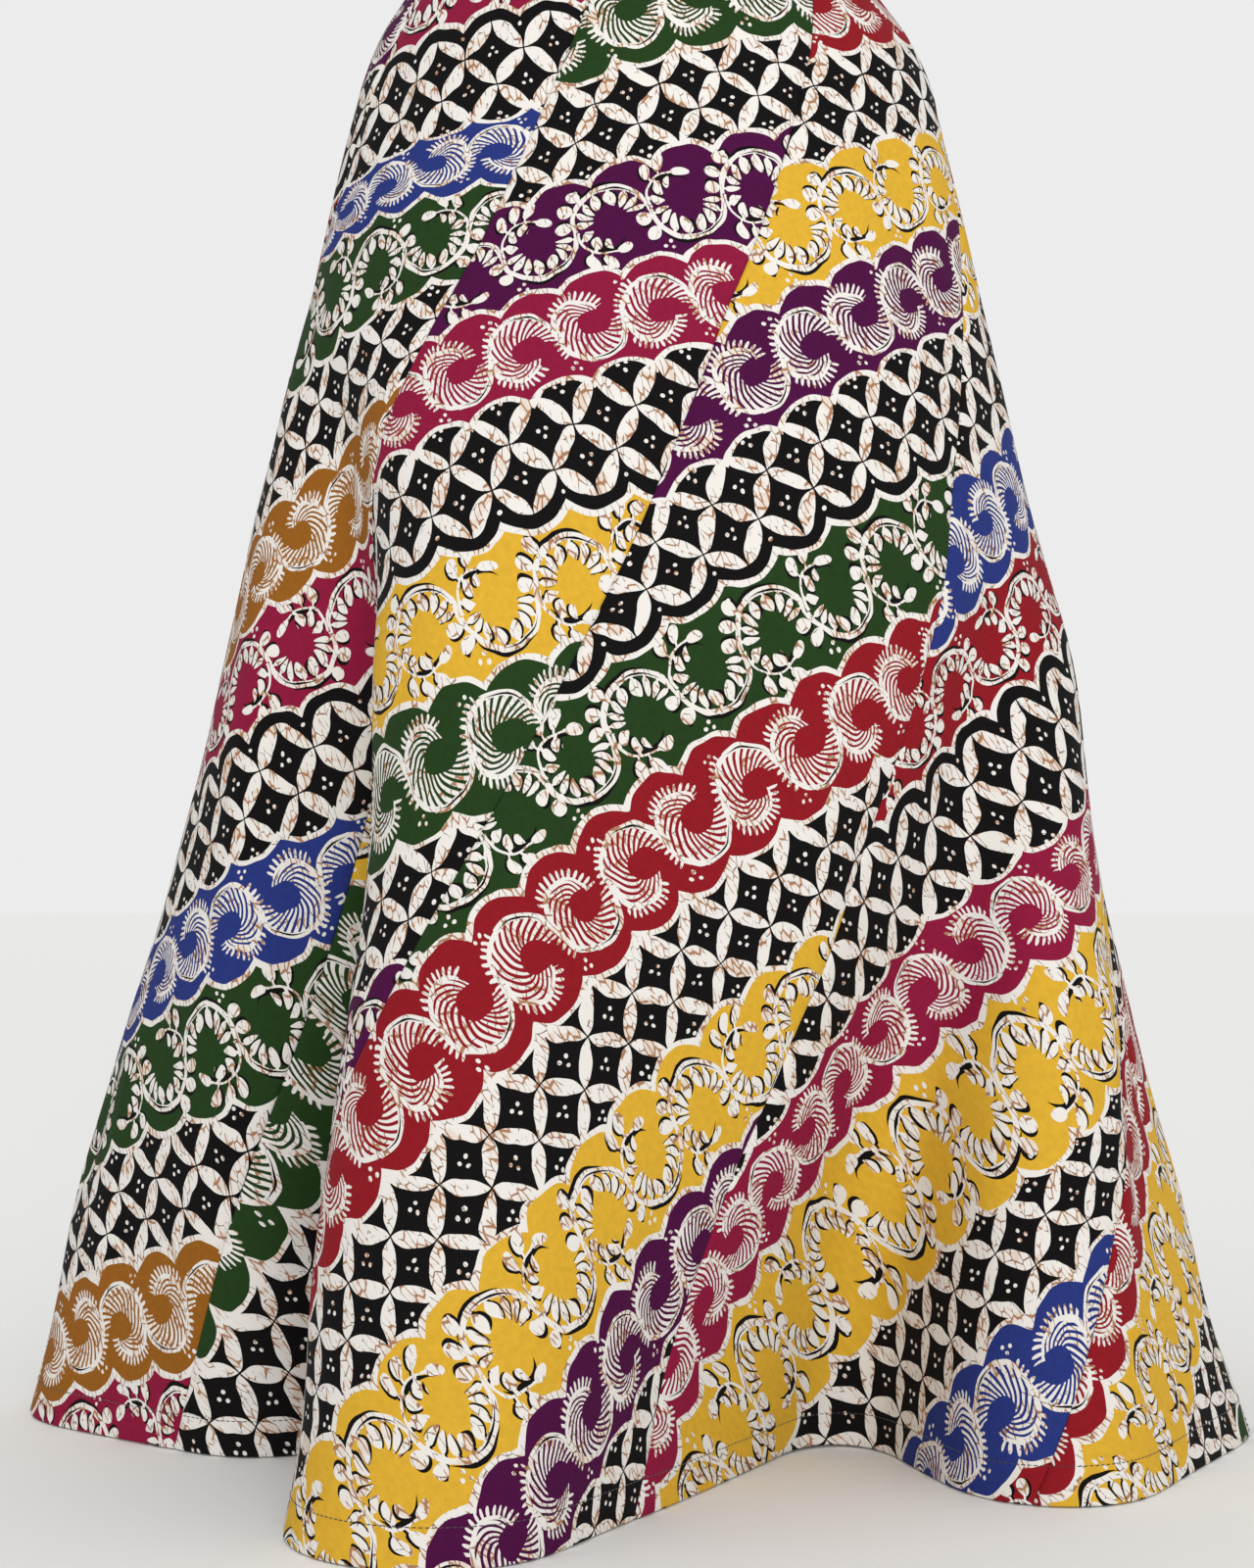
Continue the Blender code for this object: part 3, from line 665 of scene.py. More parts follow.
# The ground of each band, slightly uneven where the dye took
black = linear(BLACK_DYE)
ground = black
for entry, kind in enumerate(GROUND_KINDS):
    chosen = add("Math COMPARE", ground_kind, kind, 0.5)
    ground = add("Mix", named={"Factor": chosen, 6: ground, 7: dyes.outputs[entry]},
                 data_type="RGBA").outputs[2]
mottle = add("TexNoise", flat, None, MOTTLE_SCALE, DYE_DETAIL, noise_dimensions="2D")
mottle = add("MapRange", mottle.outputs["Fac"], *NOISE_SPAN, *MOTTLE)
ground = add("VectorMath SCALE", ground, named={3: mottle})

# Bare cloth: warm off-white, with brown dye in patches and thin dark cracks across some of the figures
stain = add("TexNoise", flat, None, STAIN_SCALE, DYE_DETAIL, named={"Distortion": STAIN_DISTORTION},
            noise_dimensions="2D")
stained, rusty, crack_width = [
    add("MapRange", stain.outputs["Fac"], *span) for span in (STAINED, RUSTED, CRACKED)
]
stained = add("Math MULTIPLY", stained, STAIN_DEPTH)
bare = add("Mix", named={"Factor": stained, 6: linear(BARE_CLOTH), 7: linear(BROWN_STAIN)},
           data_type="RGBA").outputs[2]
crossing = add("VectorMath MULTIPLY", drawn, CRACK_GRID)
cracks = add("TexVoronoi", crossing, None, 1.0, voronoi_dimensions="2D", feature="DISTANCE_TO_EDGE")
crack = add("Math LESS_THAN", cracks, crack_width)
crack_colour = add("Mix", named={"Factor": rusty, 6: linear(GREY_CRACK), 7: linear(BROWN_CRACK)},
                   data_type="RGBA").outputs[2]
crack = add("Math MULTIPLY", crack, CRACK_DEPTH)
bare = add("Mix", named={"Factor": crack, 6: bare, 7: crack_colour}, data_type="RGBA").outputs[2]

figured = ground
for share, colour in ((shadow, black), (white, bare), (arc, black)):
    figured = add("Mix", named={"Factor": share, 6: figured, 7: colour}, data_type="RGBA").outputs[2]
adder(batik, "Node")("GroupOutput", figured)

THREAD = 0.0011          # threads of the plain weave are 0.3 mm apart, drawn coarser so that they show
WAVE_PITCH = 3.2         # a wave texture's waves to each unit of its scale, nearly
WEAVE_DEPTH = 0.00012
WEAVE_UNEVEN = 0.6
WEAVE_STRENGTH = 0.35
SLUB_SCALE = 160.0       # thicker and thinner threads, to the metre
SLUB_SHARE = 1.5
FINE_DETAIL = 3.0        # octaves of the noises that show close to


def finish_for(name):
    """A new material, and the function that adds nodes to it."""
    made = bpy.data.materials.new(name)
    made.use_nodes = True
    made.node_tree.nodes.clear()
    return made, adder(made.node_tree)


def scene_object(name, data):
    """A new object of the scene."""
    made = bpy.data.objects.new(name, data)
    bpy.context.scene.collection.objects.link(made)
    return made


def batik_cotton(name, dyes_used):
    """Printed cotton: a matt plain weave, soft, with a faint fuzz that catches light at grazing angles."""
    made, add = finish_for(name)
    pattern = add("Group", node_tree=batik)
    for i, dye in enumerate(dyes_used):
        pattern.inputs[i].default_value = linear(dye)
    place = add("UVMap", uv_map="cloth")
    flat = add("VectorMath MULTIPLY", place, (1.0, BAND / 1000, 1.0))
    warp, weft = [
        add("TexWave", flat, 1 / THREAD / WAVE_PITCH, WEAVE_UNEVEN, 1.0, bands_direction=way).outputs["Fac"]
        for way in "XY"
    ]
    weave = add("Math MULTIPLY", warp, weft)
    slub = add("TexNoise", flat, None, SLUB_SCALE, FINE_DETAIL, noise_dimensions="2D")
    height = add("Math MULTIPLY_ADD", slub.outputs["Fac"], SLUB_SHARE, weave)
    bump = add("Bump", WEAVE_STRENGTH, WEAVE_DEPTH, named={"Height": height})
    add("OutputMaterial", add("BsdfPrincipled", pattern, named={
        "Roughness": 0.82,
        "Specular IOR Level": 0.08,
        "Sheen Weight": 0.01,
        "Sheen Roughness": 0.5,
        "Normal": bump,
    }))
    return made


# The seven spiral gores. Swirl-shaped panels of the batik, cut on a bend so that each turns about the body
# from the waist to the hem, sewn side by side. Four lie with the cloth one way up and three with it turned
# round, so the bands break at every seam. The hem is turned up 20 mm inside and stitched.

CLOTH = 0.0007           # one layer
SEAM_DIP = 0.0012        # how far the cloth turns in at a seam
SEAM_EDGE = 0.0011       # and over what distance
PUCKER = 0.0003          # the shallow hollow beside a seam
PUCKER_REACH = 0.006
ALLOWANCE = 0.0102       # cloth beyond the stitching, inside
ALLOWANCE_WALL = 0.0019  # both layers
HEM_DEPTH = 0.020        # cloth turned up inside
HEM_WALL = 0.0022
LEAST_WALL = 0.0004      # inside a deep crease
FLAT_ROWS = 240
FLAT_COLUMNS = 49
LAY_SOFTENING = 8        # rows to each side over which a gore's spread is smoothed
LEAST_SPREAD = 0.02      # metres wider for each metre down, at the least
TURNED = (1, 4, 5)

# Where the bands' edges lie on each gore laid flat: at a fixed place across, the height of each edge below
# the gore's top and its slope. The first number counts the bands' edges down the cloth's own way up.
BAND_STEPS = (0.053, 0.053, 0.052, 0.051, 0.056, 0.064)
Edges = namedtuple("Edges", "at first rows")
EDGES = {
    1: Edges(-0.2, 5, ((-0.065, 0.09), (-0.119, 0.08), (-0.145, 0.04), (-0.219, 0.21), (-0.279, 0.30),
                       (-0.327, 0.28), (-0.381, 0.18), (-0.444, 0.20), (-0.502, 0.12), (-0.571, 0.07),
                       (-0.640, 0.02), (-0.700, 0.00))),
    2: Edges(-0.2, 1, ((-0.106, 0.21), (-0.157, 0.21), (-0.201, 0.16), (-0.254, 0.19), (-0.319, 0.20),
                       (-0.383, 0.17), (-0.451, 0.29), (-0.506, 0.33), (-0.570, 0.35), (-0.630, 0.35))),
    3: Edges(-0.2, 0, ((-0.040, 0.20), (-0.093, 0.21), (-0.148, 0.22), (-0.218, 0.33), (-0.275, 0.36),
                       (-0.334, 0.35), (-0.396, 0.34), (-0.455, 0.38), (-0.514, 0.39), (-0.578, 0.45),
                       (-0.632, 0.50))),
    4: Edges(-0.2, 2, ((-0.188, 0.31), (-0.249, 0.21), (-0.306, 0.31), (-0.362, 0.31), (-0.434, 0.31),
                       (-0.485, 0.33), (-0.565, 0.43), (-0.615, 0.52), (-0.690, 0.42))),
    5: Edges(-0.5, 4, ((-0.477, 0.15), (-0.529, 0.18), (-0.611, 0.13))),
    6: Edges(-0.2, 0, ((-0.060, 0.22), (-0.113, 0.23))),
    7: Edges(-0.2, 3, ((-0.075, 0.25), (-0.126, 0.26))),
}
EXTRA_BANDS = 14         # more than the gore needs, above and below the rows given
LEAST_BAND = 0.002
FIGURE_SHIFT = 0.013     # how far the figures lie along from one gore to the next

# The dyes, and the grounds of each gore: feather, leaf, feather and leaf bands
RED = "#81141D"
YELLOW = "#C89D2E"
GREEN = "#1F3717"
BLUE = "#23306F"
PURPLE = "#440A39"
MAGENTA = "#7F1435"
OCHRE = "#885418"
GORE_DYES = {
    1: (OCHRE, GREEN, BLUE, MAGENTA),
    2: (GREEN, PURPLE, MAGENTA, YELLOW),
    3: (RED, YELLOW, PURPLE, GREEN),
    4: (BLUE, YELLOW, MAGENTA, RED),
    5: (GREEN, YELLOW, RED, PURPLE),
    6: (MAGENTA, BLUE, OCHRE, GREEN),
    7: (BLUE, YELLOW, PURPLE, RED),
}

# Soft creases: the share of the way round and the drop of both ends, then width and height in metres
Crease = namedtuple("Crease", "share drop to_share to_drop width height")
CREASES = (
    Crease(0.020, 0.58, 0.012, 0.72, 0.010, -0.0030),
    Crease(0.035, 0.55, 0.030, 0.78, 0.014, 0.0030),
    Crease(0.300, 0.22, 0.330, 0.40, 0.016, -0.0030),
    Crease(0.255, 0.30, 0.262, 0.36, 0.006, -0.0018),
    Crease(0.505, 0.50, 0.520, 0.74, 0.012, 0.0035),
    Crease(0.540, 0.54, 0.548, 0.66, 0.006, -0.0030),
    Crease(0.430, 0.10, 0.470, 0.26, 0.014, -0.0022),
    Crease(0.660, 0.16, 0.650, 0.42, 0.015, 0.0030),
    Crease(0.720, 0.38, 0.735, 0.66, 0.012, -0.0030),
    Crease(0.800, 0.20, 0.790, 0.38, 0.012, -0.0025),
    Crease(0.850, 0.46, 0.865, 0.74, 0.013, 0.0030),
    Crease(0.930, 0.24, 0.940, 0.50, 0.014, -0.0028),
    Crease(0.130, 0.09, 0.160, 0.15, 0.012, -0.0018),
    Crease(0.380, 0.42, 0.400, 0.60, 0.016, 0.0022),
    Crease(0.200, 0.64, 0.215, 0.79, 0.016, 0.0025),
    Crease(0.345, 0.60, 0.352, 0.79, 0.014, -0.0025),
)
CREASE_END = 0.3         # how far past both ends a crease is followed, as a share of its length
CREASE_FADE = 0.34
STILL_DROP = 0.06        # above this drop the cloth lies smooth on the body
STILL_EASE = 0.20
GIRTH_DROPS = (0.1, 0.3, 0.5, 0.7, 0.8)
GIRTHS = [girth(drop) for drop in GIRTH_DROPS]

# The cloth's general unevenness: height, waves round the skirt and down it, and what bends them
SWELL = (0.0010, 9, 21, 1.3, 17)
RIPPLE = (0.0006, 17, -33, 2.0, 3, 26)


def creased(drop, shares):
    """How far the creases and the cloth's general unevenness lift it at points of a level."""
    around = float(np.interp(drop, GIRTH_DROPS, GIRTHS))
    lift = np.zeros(len(shares))
    for crease in CREASES:
        reach = crease.to_drop - crease.drop
        part = (drop - crease.drop) / reach
        if not -CREASE_END < part < 1 + CREASE_END:
            continue
        middle = crease.share + (crease.to_share - crease.share) * part
        off = ((shares - middle + 0.5) % 1.0 - 0.5) * around
        fade = np.exp(-((part - 0.5) / CREASE_FADE) ** 4)
        lift += crease.height * fade * np.exp(-(off / crease.width) ** 2)
    turn = shares * math.tau
    lower = min(1.0, max(0.0, (drop - STILL_DROP) / STILL_EASE))
    height, rounds, falls, bend, bends = SWELL
    lift += height * lower * np.sin(rounds * turn + falls * drop + bend * np.sin(bends * drop))
    height, rounds, falls, start, cross_rounds, cross_falls = RIPPLE
    cross = np.sin(cross_falls * drop + cross_rounds * turn)
    lift += height * lower * np.sin(rounds * turn + falls * drop + start) * cross
    return lift


def laid_flat(grid):
    """A gore's points laid flat, row by row, from the middle of its top row down."""
    widths = np.linalg.norm(np.diff(grid, axis=1), axis=2).sum(axis=1)
    fall = np.zeros(len(grid))
    slide = np.zeros(len(grid))
    for i in range(1, len(grid)):
        step = grid[i] - grid[i - 1]
        way = np.gradient(grid[i - 1], axis=0)
        way /= np.linalg.norm(way, axis=1)[:, None]
        level = (step * way).sum(axis=1)
        fall[i] = np.sqrt(np.maximum((step * step).sum(axis=1) - level * level, 0.0)).mean()
        slide[i] = level.mean()
    growth = np.gradient(widths, np.cumsum(fall))
    count = 2 * LAY_SOFTENING + 1
    growth = np.convolve(np.pad(growth, LAY_SOFTENING, mode="edge"), np.ones(count) / count, mode="valid")
    radius = widths / np.maximum(growth, LEAST_SPREAD)
    flat = np.zeros((*grid.shape[:2], 2))
    middle = np.zeros(2)
    turn = 0.0
    for i in range(len(grid)):
        down = np.array([math.sin(turn), -math.cos(turn)])
        along = np.array([math.cos(turn), math.sin(turn)])
        middle = middle + fall[i] * down + slide[i] * along
        turn += slide[i] / radius[i]
        down = np.array([math.sin(turn), -math.cos(turn)])
        run = np.concatenate([[0.0], np.cumsum(np.linalg.norm(np.diff(grid[i], axis=0), axis=1))])
        bearing = turn + (run - widths[i] / 2) / radius[i]
        flat[i] = middle + radius[i] * (np.stack([np.sin(bearing), -np.cos(bearing)], axis=1) - down)
    return flat


def band_places(number, flat):
    """The pattern's coordinates on a gore laid flat: metres along the bands, and bands down the cloth."""
    edges = EDGES[number]
    rows = list(edges.rows)
    first = edges.first
    way = -1 if number in TURNED else 1
    kind = first
    for _ in range(EXTRA_BANDS):
        step = BAND_STEPS[(kind - (way > 0)) % len(BAND_STEPS)]
        rows.insert(0, (rows[0][0] + step, rows[0][1]))
        kind -= way
    start = kind
    kind = first + way * (len(edges.rows) - 1)
    for _ in range(EXTRA_BANDS):
        step = BAND_STEPS[(kind - (way < 0)) % len(BAND_STEPS)]
        rows.append((rows[-1][0] - step, rows[-1][1]))
        kind += way
    off = flat[..., 0] - edges.at
    heights = [height + slope * off for height, slope in rows]
    counted = np.full(off.shape, float(start))
    for upper, lower in zip(heights, heights[1:]):
        counted += way * np.clip((upper - flat[..., 1]) / np.maximum(upper - lower, LEAST_BAND), 0.0, 1.0)
    angle = math.atan(sum(slope for _, slope in edges.rows) / len(edges.rows))
    along = way * (flat[..., 0] * math.cos(angle) + flat[..., 1] * math.sin(angle))
    return np.stack([along + FIGURE_SHIFT * number, counted], axis=-1)


def stepped(first, last, step):
    """Even steps from the first value to the last, each about as long as asked for."""
    return list(np.linspace(first, last, max(2, round((last - first) / step) + 1)))


# Columns beside a seam, rows down the gore, and how the hem's fold rounds off: outer and inner distance in
SEAM_COLUMNS = (0.0, 0.0004, 0.0010, 0.0022, 0.0045, 0.0075, 0.0098, 0.0106)
INNER_COLUMNS = 62
ROWS = [
    GORE_TOP, 0.0352, 0.0368, 0.0390, *stepped(0.042, 0.782, 0.0037), 0.7846, 0.7853, 0.7862, 0.7874,
    *stepped(0.7900, 0.8032, 0.0033), 0.8041, 0.8046, 0.8049, 0.8050,
]
FOOT = {
    0.8041: (0.0001, 0.0020),
    0.8046: (0.0003, 0.0018),
    0.8049: (0.0006, 0.0016),
    0.8050: (0.0010, 0.0013),
}


def seam_dip(off):
    """How far the cloth turns in beside a seam, from its distance to the seam."""
    return SEAM_DIP * np.exp(-off / SEAM_EDGE) + PUCKER * np.exp(-(off / PUCKER_REACH) ** 2)


def shell_faces(rows, columns):
    """The quads of a closed shell: an outer grid, an inner one and the four edges between them."""
    outer = np.arange(rows * columns).reshape(rows, columns)
    inner = outer + rows * columns
    faces = [
        np.stack([outer[:-1, :-1], outer[1:, :-1], outer[1:, 1:], outer[:-1, 1:]], axis=-1),
        np.stack([inner[:-1, :-1], inner[:-1, 1:], inner[1:, 1:], inner[1:, :-1]], axis=-1),
        np.stack([outer[:-1, 0], inner[:-1, 0], inner[1:, 0], outer[1:, 0]], axis=-1),
        np.stack([outer[:-1, -1], outer[1:, -1], inner[1:, -1], inner[:-1, -1]], axis=-1),
        np.stack([outer[0, :-1], outer[0, 1:], inner[0, 1:], inner[0, :-1]], axis=-1),
        np.stack([outer[-1, :-1], inner[-1, :-1], inner[-1, 1:], outer[-1, 1:]], axis=-1),
    ]
    return np.concatenate([part.reshape(-1, 4) for part in faces])


def cloth_piece(name, outer, inner, places, material):
    """A smooth closed shell between two grids of points, with the cloth's own coordinates on both."""
    points = np.concatenate([outer.reshape(-1, 3), inner.reshape(-1, 3)])
    mesh = bpy.data.meshes.new(name)
    mesh.from_pydata(points.tolist(), [], shell_faces(*outer.shape[:2]).tolist())
    layer = mesh.uv_layers.new(name="cloth")
    corners = np.zeros(len(mesh.loops), dtype=np.int32)
    mesh.loops.foreach_get("vertex_index", corners)
    both_places = np.concatenate([places, places])
    layer.data.foreach_set("uv", both_places[corners].astype(np.float32).ravel())
    mesh.materials.append(material)
    mesh.shade_smooth()
    mesh.validate()
    made = scene_object(name, mesh)
    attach(made, "skirt")
    return made


def gore_shell(rows):
    """The outer and the inner face of one gore's thin closed shell, row by row."""
    outer = []
    inner = []
    for drop, (points, normals, offs, lift, _) in zip(ROWS, rows):
        front, back = FOOT.get(drop, (0.0, None))
        dip = seam_dip(offs) + front - lift
        layers = HEM_WALL if drop > LENGTH - HEM_DEPTH else CLOTH
        wall = np.where(offs < ALLOWANCE, max(ALLOWANCE_WALL, layers), layers)
        behind = (wall if back is None else back) - lift
        outer.append(points - normals * dip[:, None])
        inner.append(points - normals * np.maximum(behind, dip + LEAST_WALL)[:, None])
    outer = np.array(outer)
    inner = np.array(inner)
    outer[..., 2] = np.maximum(outer[..., 2], -LENGTH)
    inner[..., 2] = np.maximum(inner[..., 2], -LENGTH)
    return outer, inner


def gore_rows():
    """For each gore and row: points, outward ways, distances to the seam, creases, and places across."""
    made = {number: [] for number in range(1, GORES + 1)}
    for drop in ROWS:
        width = girth(drop) / GORES
        middle = np.linspace(SEAM_COLUMNS[-1], width - SEAM_COLUMNS[-1], INNER_COLUMNS + 2)[1:-1]
        across_gore = np.concatenate([SEAM_COLUMNS, middle, width - np.array(SEAM_COLUMNS[::-1])])
        offs = np.minimum(across_gore, width - across_gore)
        shares = np.concatenate([
            seam_share(drop) + (number - 2 + across_gore / width) / GORES for number in range(1, GORES + 1)
        ])
        points = cloth_points(drop, shares)
        normals = cloth_normals(drop, shares)
        lifts = creased(drop, shares % 1.0)
        count = len(across_gore)
        for number in range(1, GORES + 1):
            own = slice((number - 1) * count, number * count)
            made[number].append((points[own], normals[own], offs, lifts[own], across_gore / width))
    return made


all_rows = gore_rows()
flat_drops = np.linspace(GORE_TOP, LENGTH, FLAT_ROWS)
flat_shares = np.linspace(0.0, 1.0, FLAT_COLUMNS)
for number in range(1, GORES + 1):
    even = np.array([
        cloth_points(drop, seam_share(drop) + (number - 2 + flat_shares) / GORES) for drop in flat_drops
    ])
    flat_gore = laid_flat(even)
    outer, inner = gore_shell(all_rows[number])
    places = []
    for drop, (*_, across_share) in zip(ROWS, all_rows[number]):
        at = np.interp(drop, flat_drops, np.arange(FLAT_ROWS))
        low = min(int(at), FLAT_ROWS - 2)
        mixed = flat_gore[low] * (1 - (at - low)) + flat_gore[low + 1] * (at - low)
        places.append([np.interp(across_share, flat_shares, mixed[:, axis]) for axis in range(2)])
    flat_points = np.array(places).transpose(0, 2, 1)
    coords = band_places(number, flat_points).reshape(-1, 2)
    cotton = batik_cotton(f"batik cotton, gore {number}", GORE_DYES[number])
    piece = cloth_piece(f"gore_{number}", outer, inner, coords, cotton)
    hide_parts(f"panel_{number}")
    chord = flat_gore[-1].mean(axis=0) - flat_gore[0].mean(axis=0)
    chord /= np.linalg.norm(chord)
    turned_up = girth(LENGTH) / GORES * HEM_DEPTH


# The waistband. A straight band of the same cotton, folded over along its top edge, with the gores' tops
# caught between its two sides. The photo's top edge hides it, so it is finished plainly.

ZIP_SEAM = 4
ZIP_SLIT = 0.0022
BAND_COLUMNS = 300
BAND_WAVE = 0.00025      # how unevenly the band lies
BAND_WAVES = 23          # round the waist
BAND_SLANT = 60          # and how they turn with the drop, in radians a metre
BAND_TOP_STILL = 0.008   # the waves fade over this height to the fold
BAND_MIDDLE = 0.017
BAND_PLACE = 4.95        # where the band's lower edge lies in the pattern, in bands down the cloth
# Both sides, from the lower edge to the fold: the drop, and how far in from the cloth's face
BAND_FRONT = ((0.0340, 0.0002), (0.0336, -0.0004), (0.0325, -0.0006), (0.0240, -0.0007), (0.0120, -0.0007),
              (0.0016, -0.0006), (0.0005, -0.0001), (0.0000, 0.0006), (0.0000, 0.0010))
BAND_BACK = ((0.0340, 0.0019), (0.0336, 0.0023), (0.0325, 0.0024), (0.0240, 0.0024), (0.0120, 0.0024),
             (0.0016, 0.0022), (0.0005, 0.0018), (0.0001, 0.0014), (0.0000, 0.0012))


def level_ways(drop, shares):
    """The level outward directions at points of the cloth."""
    ways = cloth_normals(drop, shares)
    ways[:, 2] = 0.0
    return ways / np.linalg.norm(ways, axis=1)[:, None]


def band_side(lines):
    """One side of the waistband, from its fold down."""
    made = []
    for drop, inwards in lines[::-1]:
        middle = seam_share(drop) + ZIP_SEAM / GORES
        slit = ZIP_SLIT / 2 / girth(drop)
        shares = np.linspace(middle + slit, middle + 1 - slit, BAND_COLUMNS)
        wave = BAND_WAVE * np.sin(BAND_WAVES * shares * math.tau + BAND_SLANT * drop)
        out = wave * min(1.0, drop / BAND_TOP_STILL) - inwards
        made.append(cloth_points(drop, shares) + level_ways(drop, shares) * out[:, None])
    return np.array(made)


band_run = np.linspace(0.0, girth(BAND_MIDDLE), BAND_COLUMNS)
band_coords = np.concatenate([
    np.column_stack([band_run, np.full(BAND_COLUMNS, BAND_PLACE - (BAND_HEIGHT - drop) * 1000 / BAND)])
    for drop, _ in BAND_FRONT[::-1]
])
waistband = cloth_piece("waist_band", band_side(BAND_FRONT), band_side(BAND_BACK), band_coords,
                        batik_cotton("batik cotton, waistband", GORE_DYES[2]))
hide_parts("waistband")
round(girth(BAND_MIDDLE), 3)


# The stitching. Black sewing thread: the hem's line of lockstitches 18 mm above the fold, and the line that
# closes the waistband over the gores' tops. Each stitch is a short thread sunk a little at both ends.

STITCH = 0.0030          # from hole to hole
STITCH_SHOWN = 0.90      # how much of that shows as thread
THREAD_RADIUS = 0.00030
HEM_LINE = 0.7868
HEM_LINE_OUT = 0.00005   # how far the thread's middle stands off the cloth
HEM_LINE_STEPS = 1500
BAND_LINE = 0.0318
BAND_LINE_OUT = 0.00072
BAND_LINE_STEPS = 900
BAND_LINE_CLEAR = 0.004  # share of the way round left free on each side of the zip
TWIST_SCALE = 900.0      # a twist about every 0.35 mm
TWIST_UNEVEN = 2.0

stitching = bpy.data.node_groups.new("stitching", "GeometryNodeTree")
stitching.interface.new_socket("Seam", in_out="INPUT", socket_type="NodeSocketGeometry")
for entry, value in (("Spacing", STITCH), ("Length", STITCH * STITCH_SHOWN), ("Radius", THREAD_RADIUS)):
    size = stitching.interface.new_socket(entry, in_out="INPUT", socket_type="NodeSocketFloat")
    size.default_value = value
stitching.interface.new_socket("Thread", in_out="INPUT", socket_type="NodeSocketMaterial")
stitching.interface.new_socket("Stitches", in_out="OUTPUT", socket_type="NodeSocketGeometry")
entries = adder(stitching, "Node")("GroupInput")
add = adder(stitching, "GeometryNode")
turned = adder(stitching, "FunctionNode")
shaped = adder(stitching)
path = add("MeshToCurve", entries.outputs["Seam"])
spaced = add("ResampleCurve", path, mode="LENGTH", named={"Length": entries.outputs["Spacing"]})
outwards = add("InputNamedAttribute", data_type="FLOAT_VECTOR", named={"Name": "outwards"})
lying = turned("AlignRotationToVector", named={"Vector": add("InputTangent")}, axis="X")
facing = turned("AlignRotationToVector", lying, named={"Vector": outwards}, axis="Z", pivot_axis="X")
ball = add("MeshIcoSphere", named={"Radius": 1.0, "Subdivisions": 1})
halved = shaped("Math MULTIPLY", entries.outputs["Length"], 0.5)
slim = shaped("CombineXYZ", halved, entries.outputs["Radius"], entries.outputs["Radius"])
placed = add("InstanceOnPoints", spaced, named={"Instance": ball, "Rotation": facing, "Scale": slim})
sewn = add("SetMaterial", add("RealizeInstances", placed), named={"Material": entries.outputs["Thread"]})
adder(stitching, "Node")("GroupOutput", sewn)

# Spun polyester thread has a soft sheen and a fine twist along it
black_thread, add = finish_for("spun polyester thread, black")
place = add("TexCoord")
twist = add("TexWave", place.outputs["Object"], TWIST_SCALE, TWIST_UNEVEN, 1.0, bands_direction="DIAGONAL")
tone = add("Mix", named={"Factor": twist, 6: linear("#101012"), 7: linear("#3A3838")}, data_type="RGBA")
add("OutputMaterial", add("BsdfPrincipled", tone.outputs[2], named={"Roughness": 0.55, "Sheen Weight": 0.2}))


def sewn_line(name, points, ways, thread, **sizes):
    """Stitches, or a zip's teeth, along a line of points with their outward directions."""
    mesh = bpy.data.meshes.new(f"{name}_line")
    mesh.from_pydata(points.tolist(), [(i, i + 1) for i in range(len(points) - 1)], [])
    layer = mesh.attributes.new("outwards", "FLOAT_VECTOR", "POINT")
    layer.data.foreach_set("vector", ways.astype(np.float32).ravel())
    line = scene_object(f"{name}_line", mesh)
    modifier = line.modifiers.new("stitching", "NODES")
    modifier.node_group = stitching
    given = {"Thread": thread, **sizes}
    for item in stitching.interface.items_tree:
        if item.in_out == "INPUT" and item.name in given:
            modifier[item.identifier] = given[item.name]
    bpy.context.view_layer.update()
    graph = bpy.context.evaluated_depsgraph_get()
    sewn_mesh = bpy.data.meshes.new_from_object(line.evaluated_get(graph))
    sewn_mesh.name = name
    sewn_mesh.shade_smooth()
    bpy.data.objects.remove(line, do_unlink=True)
    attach(scene_object(name, sewn_mesh), "skirt")


# The hem's line follows the dressed cloth, with its dips at the seams and its creases
hem_start = seam_share(HEM_LINE)
hem_shares = np.linspace(hem_start, hem_start + 1, HEM_LINE_STEPS)
hem_ways = cloth_normals(HEM_LINE, hem_shares)
in_gores = (hem_shares - hem_start) * GORES
to_seam = np.abs(in_gores - np.round(in_gores)) * girth(HEM_LINE) / GORES
hem_depth = seam_dip(to_seam) - creased(HEM_LINE, hem_shares % 1.0) - HEM_LINE_OUT
hem_points = cloth_points(HEM_LINE, hem_shares) - hem_ways * hem_depth[:, None]
sewn_line("hem_stitches", hem_points, hem_ways, black_thread)

band_middle = seam_share(BAND_LINE) + ZIP_SEAM / GORES
band_shares = np.linspace(band_middle + BAND_LINE_CLEAR, band_middle + 1 - BAND_LINE_CLEAR, BAND_LINE_STEPS)
band_ways = level_ways(BAND_LINE, band_shares)
sewn_line("band_stitches", cloth_points(BAND_LINE, band_shares) + band_ways * BAND_LINE_OUT, band_ways,
          black_thread)


# The concealed zip. Two woven polyester tapes behind the back seam, a moulded coil that closes the slit
# between them, a nickel-plated slider and its pull tab, which hangs from its eye and lifts outwards.

